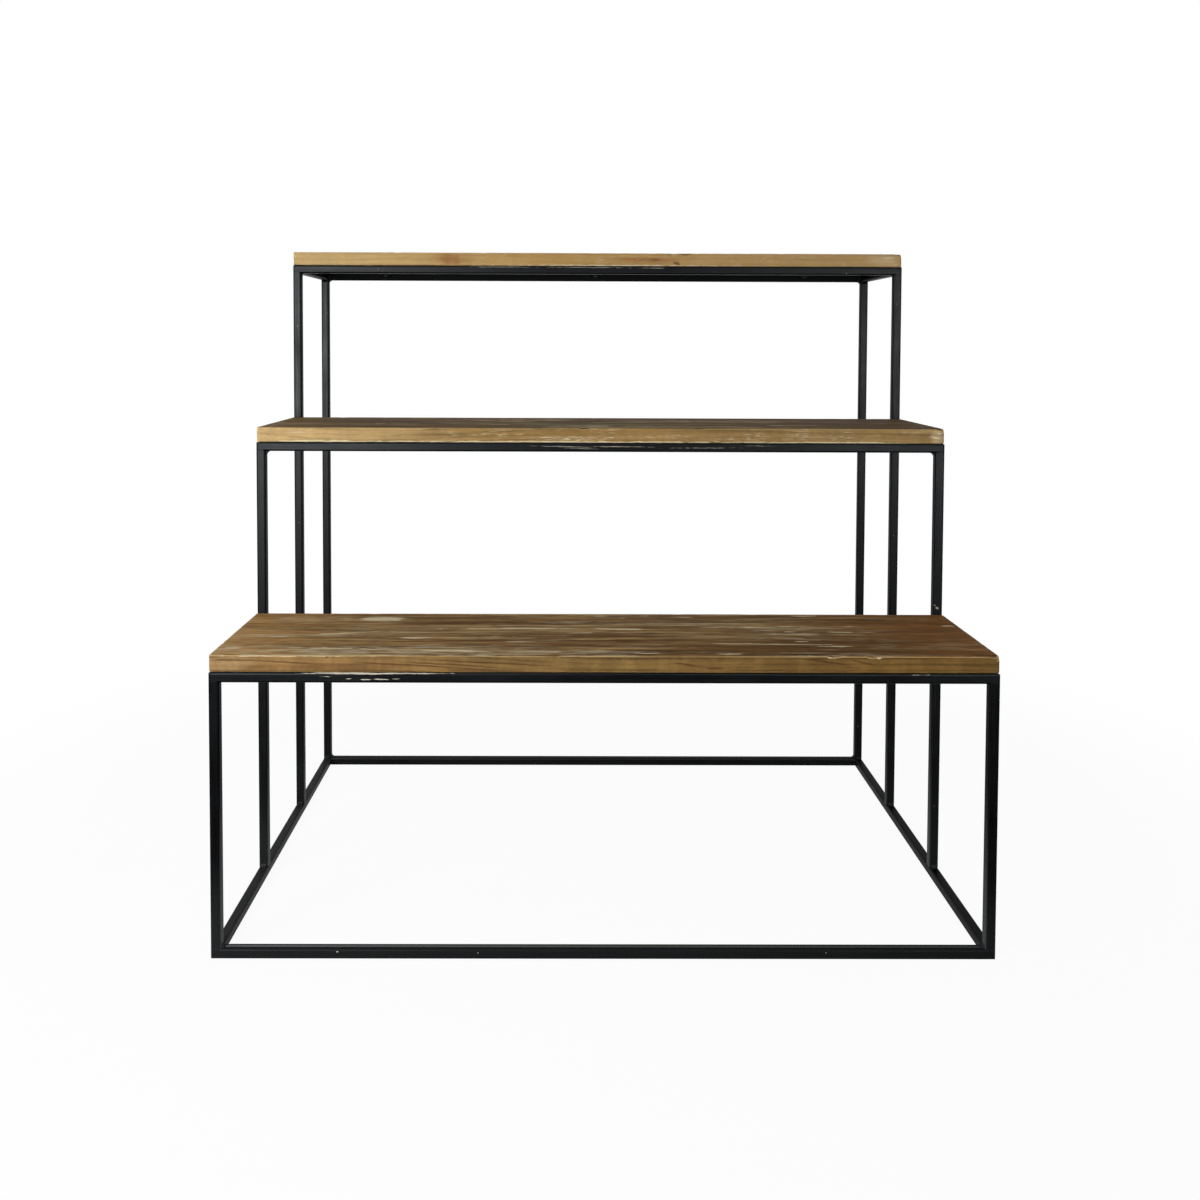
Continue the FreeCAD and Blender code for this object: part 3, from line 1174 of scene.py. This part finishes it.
    def knock_off(self, size: float, corner: Vector) -> None:
        """Pushes in the edge at one place.

        Args:
            size: Width of the chip.
            corner: A point on the sharp edge.
        """
        bpy.ops.mesh.select_mode(type="VERT")
        select_mesh("DESELECT")
        bpy.ops.object.mode_set(mode="OBJECT")
        nearest = min(self.piece.data.vertices, key=lambda v: (v.co - corner).length_squared)
        nearest.select = True
        bpy.ops.object.mode_set(mode="EDIT")
        bpy.ops.transform.translate(
            value=(0, size * self.chip_inwards, -size * self.chip_downwards),
            use_proportional_edit=True,
            proportional_edit_falloff="SMOOTH",
            proportional_size=size,
        )

    def dress(self) -> None:
        """Finishes the plank and puts it in its CAD node's place."""
        self.piece.data.materials.clear()
        self.piece.data.materials.append(self.finish.material())
        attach(self.piece, "root")
        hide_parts(f"{self.finish.tier.value}_board")


@dataclass
class WeldGroup:
    """The weld beads of one part of the frame, run by hand and painted over.

    Attributes:
        node: The CAD node that the beads replace.
        legs: Plan outlines of the legs, within which the seams are ground flush.
        mesh_size: Size of the mesh that the beads are made of.
        ripples: The ripples of a bead; their middle level gives the beads a little metal.
        softening: How far each round of smoothing goes.
        rounds: Rounds of smoothing.
        flush_margin: How far beyond a leg's outline the metal is still ground flush.
        fade: Distance over which the beads then reach their full height.
        piece: The finished object.
    """

    node: str
    legs: Sequence[tuple[float, float, float, float]]
    mesh_size: float = 0.3 * MM
    ripples: Relief = Relief((2.2, 2.2, 2.2), 0.5, middle=0.2)
    softening: float = 0.5
    rounds: int = 2
    flush_margin: float = 0.2 * MM
    fade: float = 1.0 * MM
    piece: bpy.types.Object = field(init=False)

    def build(self, nodes: Mapping[str, bpy.types.Object]) -> None:
        """Makes the beads from a copy of their CAD shapes.

        Args:
            nodes: The CAD nodes by name.
        """
        self.piece = bpy.data.objects.new(f"{self.node}_beads", nodes[self.node].data.copy())
        bpy.context.scene.collection.objects.link(self.piece)
        bpy.context.view_layer.objects.active = self.piece
        start_piece(f"{self.node}_beads")
        bpy.ops.mesh.select_mode(type="VERT")
        select_mesh("SELECT")
        bpy.ops.mesh.remove_doubles(threshold=SAME_PLACE)
        bpy.ops.object.mode_set(mode="OBJECT")
        reshape(self.piece, "REMESH", {"mode": "VOXEL", "voxel_size": self.mesh_size})
        weigh(self.piece, "bead", self.bead_share)
        self.ripples.apply(self.piece, "bead")
        softened = {"vertex_group": "bead", "factor": self.softening, "iterations": self.rounds}
        reshape(self.piece, "SMOOTH", softened)
        bpy.ops.object.shade_smooth()

    def bead_share(self, place: Vector) -> float:
        """How far a place belongs to a bead, and not to a seam that is ground flush."""
        away = min(
            math.hypot(max(x0 - place.x, place.x - x1, 0.0), max(y0 - place.y, place.y - y1, 0.0))
            for x0, x1, y0, y1 in self.legs
        )
        return min(1.0, max(0.0, (away - self.flush_margin) / self.fade))

    def dress(self, paint: bpy.types.Material) -> None:
        """Paints the beads and puts them in their CAD node's place.

        Args:
            paint: The paint of the frame's welds.
        """
        self.piece.data.materials.clear()
        self.piece.data.materials.append(paint)
        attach(self.piece, "root")
        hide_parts(self.node)


@dataclass(frozen=True)
class WornTube:
    """A tube whose front face carries marks of its own, or that shines less than the rest.

    Attributes:
        node: Its CAD node.
        cover: How strongly the marks cover the paint.
        marks: The marks.
        crest_highlight: How strongly a painted highlight lies along the middle of its upper face.
        gloss: How strongly its paint shines.
    """

    node: str
    cover: float = 0.0
    marks: tuple[Smear, ...] = ()
    crest_highlight: float = 0.0
    gloss: float = PAINT_GLOSS


@dataclass
class SteelFrame:
    """The tubes, tabs and screws, which keep their CAD shapes.

    Attributes:
        nodes: The CAD nodes by name.
        worn: The tubes with marks or a shine of their own.
    """

    nodes: Mapping[str, bpy.types.Object]
    worn: Sequence[WornTube]

    def run_of(self, name: str) -> Run:
        """The direction in which a node's tube runs, by the node's name."""
        if name.endswith("_leg"):
            return Run.UPRIGHT
        if name.endswith(("_left_rail", "_right_rail")):
            return Run.ACROSS
        return Run.ALONG

    def dress(self) -> int:
        """Gives every CAD node that stays in sight its material.

        Returns:
            How many nodes were dressed.
        """
        paints = {run: PaintFinish(f"frame_paint_{run.value}", run).material() for run in Run}
        shaded_undercoat = PaintFinish("frame_paint_matt_shaded", Run.ALONG, dull_and_shaded=True).material()
        plating = ZincFinish().material()
        count = 0
        for name, node in self.nodes.items():
            if name.endswith(("_board", "_welds")):
                continue
            coat = paints[self.run_of(name)]
            if name.endswith("_screws"):
                coat = plating
            # The tabs and rear rails under the boards get the matt paint, darkened as painted shade.
            elif name.endswith(("_tabs", "_tier_rear_rail")):
                coat = shaded_undercoat
            for place in node.material_slots:
                place.material = coat
            count += 1
        for tube in self.worn:
            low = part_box(tube.node)[0]
            coat = PaintFinish(
                name=f"{tube.node}_paint",
                run=self.run_of(tube.node),
                smears=tube.marks,
                corner=(low[1], low[2]),
                cover=tube.cover,
                crest_highlight=tube.crest_highlight,
                gloss=tube.gloss,
            )
            self.nodes[tube.node].material_slots[0].material = coat.material()
        return count


@dataclass(frozen=True)
class PhotoCamera:
    """The photograph's camera, found from the stand's own corners.

    Attributes:
        place: Where it stands.
        pitch: Degrees that it looks down.
        yaw: Degrees that it looks to the right.
        roll: Degrees that it leans.
        focal: Focal length in picture points.
        centre: Picture point that it looks at straight on.
        image: Width and height of the picture in points.
        sensor: Width of the sensor in millimetres.
        nearest: Distance from which things show.
    """

    place: Triple = (-34.0 * MM, -1181.1 * MM, 588.0 * MM)
    pitch: float = 2.0
    yaw: float = 0.2
    roll: float = 0.19
    focal: float = 1019.5
    centre: Pair = (573.4, 378.5)
    image: float = 1200.0
    sensor: float = 36.0
    nearest: float = 10 * MM

    def build(self) -> None:
        """Adds the camera and makes it the scene's."""
        # Right, down and forward of a level camera that looks to the back of the stand.
        level = Matrix(((1, 0, 0), (0, 0, -1), (0, 1, 0)))
        turned = Matrix.Rotation(-math.radians(self.yaw), 3, "Y")
        tilted = Matrix.Rotation(math.radians(self.pitch), 3, "X")
        leaned = Matrix.Rotation(math.radians(self.roll), 3, "Z")
        rows = leaned @ tilted @ turned @ level
        right, down, forward = (Vector(row) for row in rows)
        pose = Matrix((right, -down, -forward)).transposed().to_4x4()
        pose.translation = Vector(self.place)
        data = bpy.data.cameras.new("photo_camera")
        data.sensor_width = self.sensor
        data.lens = self.focal * self.sensor / self.image
        data.shift_x = (self.image / 2 - self.centre[0]) / self.image
        data.shift_y = (self.centre[1] - self.image / 2) / self.image
        data.clip_start = self.nearest
        camera = bpy.data.objects.new("photo_camera", data)
        camera.matrix_world = pose
        bpy.context.scene.collection.objects.link(camera)
        bpy.context.scene.camera = camera


@dataclass(frozen=True)
class SoftLamp:
    """A rectangular soft lamp.

    Attributes:
        name: Its name.
        place: Where it stands.
        width: Its width.
        height: Its height.
        power: Its power in watts.
        gloss_only: Whether it only shows as a sheen, like a reflector card.
        tint: Colour of its light.
    """

    name: str
    place: Triple
    width: float
    height: float
    power: float
    gloss_only: bool = False
    tint: Triple = (1.0, 1.0, 1.0)

    def build(self, aim: Triple) -> None:
        """Hangs the lamp.

        Args:
            aim: The point that it faces.
        """
        data = bpy.data.lights.new(self.name, "AREA")
        data.shape = "RECTANGLE"
        data.size = self.width
        data.size_y = self.height
        data.energy = self.power
        data.color = self.tint
        lamp = bpy.data.objects.new(self.name, data)
        lamp.location = self.place
        direction = Vector(aim) - Vector(self.place)
        lamp.rotation_euler = direction.to_track_quat("-Z", "Y").to_euler()
        lamp.visible_diffuse = not self.gloss_only
        bpy.context.scene.collection.objects.link(lamp)


@dataclass(frozen=True)
class Studio:
    """White floor, white surroundings, two soft lamps and two sheen cards in front.

    Attributes:
        floor_size: Width of the floor.
        floor_white: Its colour.
        lamps: The strong lamp on the left, the weak one on the right, and the cards beside the camera.
        aim: What they point at.
        fill: Strength of the light from all round.
        floor_glow: Share of the floor's white that shadows can't darken, close to the stand.
        near: Distance within which the floor takes shadows.
        far: Distance beyond which it is plain white.
    """

    floor_size: float = 12.0
    floor_white: Colour = shade(250, 250, 250)
    lamps: tuple[SoftLamp, ...] = (
        SoftLamp("key_lamp", (-1.25, -1.5, 0.95), 0.75, 0.8, 27.0),
        SoftLamp("side_lamp", (1.35, -1.75, 0.95), 0.7, 0.8, 4.0),
        SoftLamp("left_card", (-0.86, -1.75, 0.55), 0.5, 0.5, 190.0, True, (0.9, 0.96, 1.0)),
        SoftLamp("right_card", (0.95, -1.75, 0.54), 0.5, 0.5, 82.0, True, (0.9, 0.96, 1.0)),
    )
    aim: Triple = (0.0, 0.0, 0.4)
    fill: float = 0.36
    floor_glow: float = 0.94
    near: float = 0.55
    far: float = 1.1

    def seen_straight(self, tree: bpy.types.NodeTree) -> Signal:
        """1 for rays that see the surroundings in the picture, in gloss or through glass."""
        path = tree.nodes.new("ShaderNodeLightPath")
        camera, glossy, through = (
            Signal(tree, path.outputs[kind])
            for kind in ("Is Camera Ray", "Is Glossy Ray", "Is Transmission Ray")
        )
        return camera.highest(glossy).highest(through)

    def build_floor(self) -> None:
        """Lays the floor, white like the surroundings, with the stand's shadow near it."""
        bpy.ops.object.select_all(action="DESELECT")
        bpy.ops.mesh.primitive_plane_add(size=self.floor_size, location=(0, 0, 0))
        floor = bpy.context.object
        floor.name = "studio_floor"
        bench = Bench("studio_floor_white")
        away = bench.length(bench.place)
        kept = self.floor_glow + bench.step(away, self.near, self.far) * (1 - self.floor_glow)
        matt = bench.node("ShaderNodeBsdfDiffuse", {}, {"Color": self.floor_white})
        glow = bench.node("ShaderNodeEmission", {}, {"Color": WHITE, "Strength": 1.0})
        share = self.seen_straight(bench.tree) * kept
        bench.node_output(bench.node("ShaderNodeMixShader", {}, {0: share, 1: matt, 2: glow}))
        floor.data.materials.append(bench.material)

    def build_world(self) -> None:
        """Makes the white surroundings."""
        world = bpy.data.worlds.new("studio_world")
        bpy.context.scene.world = world
        world.use_nodes = True
        tree = world.node_tree
        tree.nodes.clear()
        strength = self.fill + self.seen_straight(tree) * (1 - self.fill)
        background = tree.nodes.new("ShaderNodeBackground")
        background.inputs["Color"].default_value = WHITE
        feed(tree, background.inputs["Strength"], strength)
        output = tree.nodes.new("ShaderNodeOutputWorld")
        tree.links.new(background.outputs[0], output.inputs["Surface"])

    def build(self) -> None:
        """Sets up the whole studio."""
        self.build_floor()
        self.build_world()
        for lamp in self.lamps:
            lamp.build(self.aim)


def lower_wood() -> WoodFinish:
    """The lower plank: warm brown, with long whitewash streaks and sweeping grain on its edge."""
    low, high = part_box("lower_board")
    return WoodFinish(
        tier=Tier.LOWER,
        slot="lower_board_wood",
        low=tuple(low),
        high=tuple(high),
        stain_dark=shade(98, 68, 37),
        stain_mid=shade(140, 109, 68),
        stain_light=shade(178, 152, 106),
        contrast=1.0,
        end_left=shade(182, 142, 90),
        end_right=shade(108, 68, 25),
        deep=shade(84, 55, 22),
        edge_left=shade(127, 97, 57),
        edge_middle=shade(120, 94, 52),
        edge_right=shade(105, 78, 36),
        edge_pale=shade(146, 121, 84),
        arris=shade(196, 168, 112),
        mottling=0.9,
        figure=1.5,
        wash=shade(216, 202, 168),
        wash_cover=0.02,
        edge_wash=0.0,
        pith=(30 * MM, -46 * MM),
        ring=5.2 * MM,
        drop=11 * MM,
        shift=1.7,
        top_stains=(
            Smear(185, 16.1, 350, 42, 1.8),
            Smear(16, 11.1, 190, 22, 1.2),
            Smear(220, 47.1, 320, 42, 1.2),
            Smear(200, 81.1, 260, 44, 0.75),
            Smear(60, 129.1, 420, 40, 0.5),
        ),
        top_pales=(
            Smear(-142, 82.1, 300, 42, 0.9),
            Smear(-265, 44.1, 190, 34, 0.7),
            Smear(-236, 87.1, 120, 60, 1.6),
            Smear(-24, 93.1, 140, 30, 1.5),
        ),
        top_smears=(
            Smear(-232, 128.1, 62, 24, 1.6),
            Smear(-268, 127.1, 60, 14, 0.6),
            Smear(-363, 85.6, 12, 4),
            Smear(-328, 61.2, 46, 5, 1.2),
            Smear(-259, 74.6, 130, 6, 1.1, rise=20),
            Smear(-187, 58.3, 56, 7, 1.3),
            Smear(-85.6, 92.6, 220, 7, rise=4.6),
            Smear(-27, 76.5, 70, 5, 0.9, rise=9),
            Smear(-255, 22.6, 130, 8, 1.1, rise=-8),
            Smear(-139, 15.4, 150, 8, 1.2, rise=-6),
            Smear(-50, 13.7, 52, 7, 0.9),
            Smear(-359, 23.1, 34, 15),
            Smear(-108, 63.3, 56, 7, 0.8),
            Smear(-84, 45.5, 56, 4, 0.8),
            Smear(-103, 146.1, 260, 4, 0.7),
            Smear(-1, 140.7, 40, 6, 1.1),
            Smear(25, 134.1, 20, 5),
            Smear(47, 142.1, 30, 5),
            Smear(89, 137.4, 50, 5, 0.7),
            Smear(219, 143.1, 42, 6, 1.2),
            Smear(23, 91.5, 96, 8, rise=-3),
            Smear(25, 78.5, 80, 6, 0.8, rise=2),
            Smear(173, 100.5, 180, 5, rise=12),
            Smear(192, 82.5, 24, 5, 1.2),
            Smear(248, 81.9, 110, 4, 0.8),
            Smear(170, 63.5, 60, 5, 0.9),
            Smear(176, 39.4, 190, 3.4, 1.3, rise=-5),
            Smear(197, 48.7, 20, 4, 2.0),
            Smear(230, 33.2, 90, 5, 0.7),
            Smear(48, 9.2, 60, 5, 0.9),
            Smear(120, 7.7, 44, 4, 1.3),
            Smear(258, 102.8, 40, 4, 0.9),
            Smear(362, 105.9, 18, 4, 1.4),
        ),
        edge_smears=(
            Smear(213.5, 14.8, 6, 2.4, 2.0),
            Smear(252, 14.8, 6, 2.0, 2.0),
            Smear(260, 14.3, 5, 3.0, 2.0),
            Smear(-300, 15.4, 210, 1.6, 1.2),
        ),
        edge_stains=(
            Smear(-240, 4.8, 150, 12, 1.3),
            Smear(-330, 5.8, 120, 5, 0.8),
            Smear(-120, 2.3, 130, 6, 0.8, rise=-4),
            Smear(80, 7.8, 120, 8, 0.5, rise=-3),
            Smear(220, 8.8, 110, 7, 0.5, rise=-3),
        ),
        edge_pales=(
            Smear(-352, 9.8, 60, 22, 1.2),
            Smear(-360, 2.8, 40, 5),
        ),
        knots=(
            Smear(-264, 14.4, 4, 2.6, 1.2),
            Smear(-257, 14.6, 4, 2.0, 1.2),
            Smear(-352, 11.4, 60, 2.6, 1.1),
            Smear(-300, 9.4, 90, 2.6, rise=-4),
            Smear(-190, 7.2, 130, 2.7, 1.2, rise=-6.5),
            Smear(-146, 7.4, 140, 2.5, 1.2, rise=-8),
            Smear(-100, 8.8, 150, 2.4, rise=-7),
            Smear(78, 8.0, 34, 2.8, 1.2, rise=-4),
            Smear(104, 4.4, 22, 2.8, 1.2, rise=-1),
            Smear(208, 11.0, 60, 2.9, 1.3, rise=-7.5),
            Smear(243, 10.2, 36, 2.7, 1.2, rise=-8),
            Smear(232, 5.4, 26, 2.4, 0.7, rise=-2),
        ),
    )


def middle_wood() -> WoodFinish:
    """The middle plank: darker and greyer on top, honey brown with white specks on its edge."""
    low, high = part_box("middle_board")
    return WoodFinish(
        tier=Tier.MIDDLE,
        slot="middle_board_wood",
        low=tuple(low),
        high=tuple(high),
        stain_dark=shade(62, 46, 28),
        stain_mid=shade(92, 73, 45),
        stain_light=shade(118, 98, 66),
        contrast=0.5,
        end_left=shade(112, 88, 56),
        end_right=shade(74, 56, 34),
        edge_left=shade(178, 149, 101),
        edge_middle=shade(130, 101, 56),
        edge_right=shade(138, 111, 68),
        edge_pale=shade(196, 174, 136),
        arris=shade(190, 160, 108),
        mottling=0.35,
        figure=1.2,
        wash=shade(222, 208, 168),
        wash_cover=0.0,
        edge_wash=0.45,
        pith=(-38 * MM, -30 * MM),
        ring=4.4 * MM,
        drop=-4 * MM,
        shift=5.3,
        top_smears=(
            Smear(-228, 54.7, 90, 6, 0.9),
            Smear(-110, 92.7, 160, 6, 0.8),
            Smear(-20, 34.7, 90, 5, 0.9),
            Smear(110, 104.7, 130, 6, 0.8),
            Smear(230, 44.7, 120, 5, 0.8),
        ),
        edge_smears=(
            Smear(-60, 0.6, 640, 3.4, 1.3),
            Smear(-310, 0.8, 110, 4.0, 1.6),
            Smear(250, 0.6, 260, 3.0, 1.4),
            Smear(-36, 4.6, 130, 8, 0.4),
            Smear(60, 6.6, 170, 8, 0.25),
            Smear(-120, 8.6, 110, 6, 0.25),
            Smear(364, 6.6, 14, 3, rise=-2),
            Smear(369, 10.6, 8, 3),
        ),
        edge_stains=(
            Smear(-170, 8.6, 120, 9, 0.6),
            Smear(240, 8.6, 160, 8, 0.4),
        ),
        edge_pales=(
            Smear(368, 8.6, 26, 26, 1.2),
            Smear(-330, 10.6, 40, 5),
            Smear(-40, 4.6, 170, 11, 0.6),
            Smear(80, 6.6, 220, 10, 0.35),
            Smear(230, 6.6, 160, 10, 0.4),
        ),
        knots=(
            Smear(-182, 14.6, 26, 2.2, 0.7),
            Smear(-166, 1.2, 30, 1.2, 0.9),
        ),
    )


def upper_wood() -> WoodFinish:
    """The upper plank: pale straw edge with a few knots."""
    low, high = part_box("upper_board")
    return WoodFinish(
        tier=Tier.UPPER,
        slot="upper_board_wood",
        low=tuple(low),
        high=tuple(high),
        stain_dark=shade(124, 74, 32),
        stain_mid=shade(130, 102, 66),
        stain_light=shade(152, 130, 92),
        contrast=0.8,
        end_left=shade(134, 104, 66),
        end_right=shade(114, 86, 56),
        edge_left=shade(177, 149, 101),
        edge_middle=shade(158, 126, 73),
        edge_right=shade(156, 128, 82),
        edge_pale=shade(176, 156, 122),
        arris=shade(196, 168, 116),
        mottling=0.25,
        figure=0.6,
        wash=shade(216, 208, 186),
        wash_cover=0.02,
        edge_wash=0.15,
        pith=(52 * MM, -60 * MM),
        ring=4.8 * MM,
        drop=5 * MM,
        shift=9.1,
        top_smears=(
            Smear(-250, 42.3, 150, 6, 0.9),
            Smear(-90, 102.3, 190, 7, 0.9),
            Smear(60, 32.3, 120, 6),
            Smear(190, 122.3, 160, 7, 0.9),
            Smear(290, 62.3, 90, 5, 0.9),
        ),
        edge_smears=(
            Smear(20, 0.8, 440, 1.8),
            Smear(358, 11.4, 20, 1.8, 0.8),
            Smear(364, 6.4, 14, 1.6, 0.8),
            Smear(367, 2.9, 9, 1.6, 0.7),
        ),
        edge_stains=(
            Smear(-181, 7.4, 80, 24, 0.7),
            Smear(-186, 7.4, 14, 22, 0.5),
            Smear(-174, 5.4, 13, 20, 0.45),
            Smear(60, 7.4, 130, 12, 0.9),
        ),
        edge_pales=(
            Smear(352, 8.4, 60, 24, 1.1),
        ),
        knots=(
            Smear(-186, 7.4, 12, 20, 0.2),
            Smear(-174, 4.4, 12, 18, 0.15),
            Smear(90, 14.8, 12, 4.4, 1.5),
            Smear(108, 14.8, 16, 4.4, 1.5),
            Smear(97, 3.4, 12, 4.4, 1.3, rise=-3),
            Smear(70, 7.4, 30, 9, 0.5),
        ),
    )


def worn_tubes() -> tuple[WornTube, ...]:
    """The tubes whose paint is scratched, splashed with whitewash or less shiny than the rest."""
    return (
        WornTube("front_left_leg", gloss=0.014),
        WornTube("front_right_leg", gloss=0.011),
        WornTube("lower_tier_front_rail", 0.95, (
            Smear(-240, 9.3, 116, 1.7, 2.4),
            Smear(-196, 9.2, 140, 1.3, 1.5, rise=0.4),
            Smear(-241, 4.2, 8, 1.1, 1.3),
            Smear(-225, 3.6, 17, 1.2, 2.0),
            Smear(-211, 3.8, 19, 1.2, 2.0, rise=-0.5),
            Smear(-196, 4.1, 12, 1.1, 1.2, rise=0.5),
            Smear(-262, 6.2, 22, 0.9, 0.9),
            Smear(300, 9.0, 44, 1.2, 0.6),
        )),
        WornTube("middle_tier_front_rail", 0.38, (
            Smear(-40, 5.8, 110, 1.3, 1.5, rise=-2.0),
            Smear(-20, 3.8, 60, 1.1, 1.4, rise=-1.4),
            Smear(20, 6.0, 90, 1.6, 1.4, rise=-1.0),
            Smear(112, 4.8, 120, 1.3, rise=0.6),
            Smear(170, 7.2, 60, 1.0, 0.8),
        )),
        WornTube("upper_tier_front_rail", 0.5, (
            Smear(-120, 8.3, 110, 0.9, 1.5),
            Smear(-10, 8.1, 150, 0.9, 1.4, rise=-0.5),
            Smear(70, 7.6, 50, 1.0, 1.4),
        )),
        WornTube("second_right_leg", 0.6, (
            Smear(368.6, 289.4, 6, 3.6, 1.6),
            Smear(367.0, 292.4, 3, 2.4, 1.2),
        )),
        # The base front rail also gets a painted highlight along the middle of its top.
        WornTube("base_front_rail", 0.7, (
            Smear(-254, 7.6, 2.4, 1.8, 2.0),
            Smear(-120, 6.4, 1.6, 1.4, 1.6),
            Smear(212, 7.2, 1.8, 1.4, 1.6),
        ), crest_highlight=1.0, gloss=0.008),
    )


def main() -> None:
    """Builds and dresses the whole stand, then the studio round it."""
    logging.basicConfig(level=logging.INFO, format="%(name)s: %(message)s")
    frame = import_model()
    nodes = frame["nodes"]

    PhotoCamera().build()
    Studio().build()

    steel = SteelFrame(nodes, worn_tubes())
    log.info("%d steel nodes painted or plated", steel.dress())

    weld_paint = PaintFinish("weld_paint", Run.ALONG, lumps=0.12 * MM).material()
    leg_boxes = [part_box(name) for name in nodes if name.endswith("_leg")]
    legs = [(low[0], high[0], low[1], high[1]) for low, high in leg_boxes]
    for name in sorted(name for name in nodes if name.endswith("_welds")):
        group = WeldGroup(name, legs)
        group.build(nodes)
        group.dress(weld_paint)
        log.info("%s: %d faces", group.piece.name, len(group.piece.data.polygons))

    planks = (
        Plank(lower_wood(), (Chip(213.5, 3.4), Chip(256, 3.4), Chip(374, 5))),
        Plank(middle_wood(), (Chip(107, 2.6), Chip(-20, 2.8), Chip(374, 5))),
        Plank(upper_wood(), (Chip(92, 2.4), Chip(374, 6))),
    )
    for plank in planks:
        plank.build()
        plank.dress()
        log.info("%s: %d faces", plank.piece.name, len(plank.piece.data.polygons))

    view = bpy.context.scene.view_settings
    view.view_transform = "Standard"


if __name__ == "__main__":
    main()
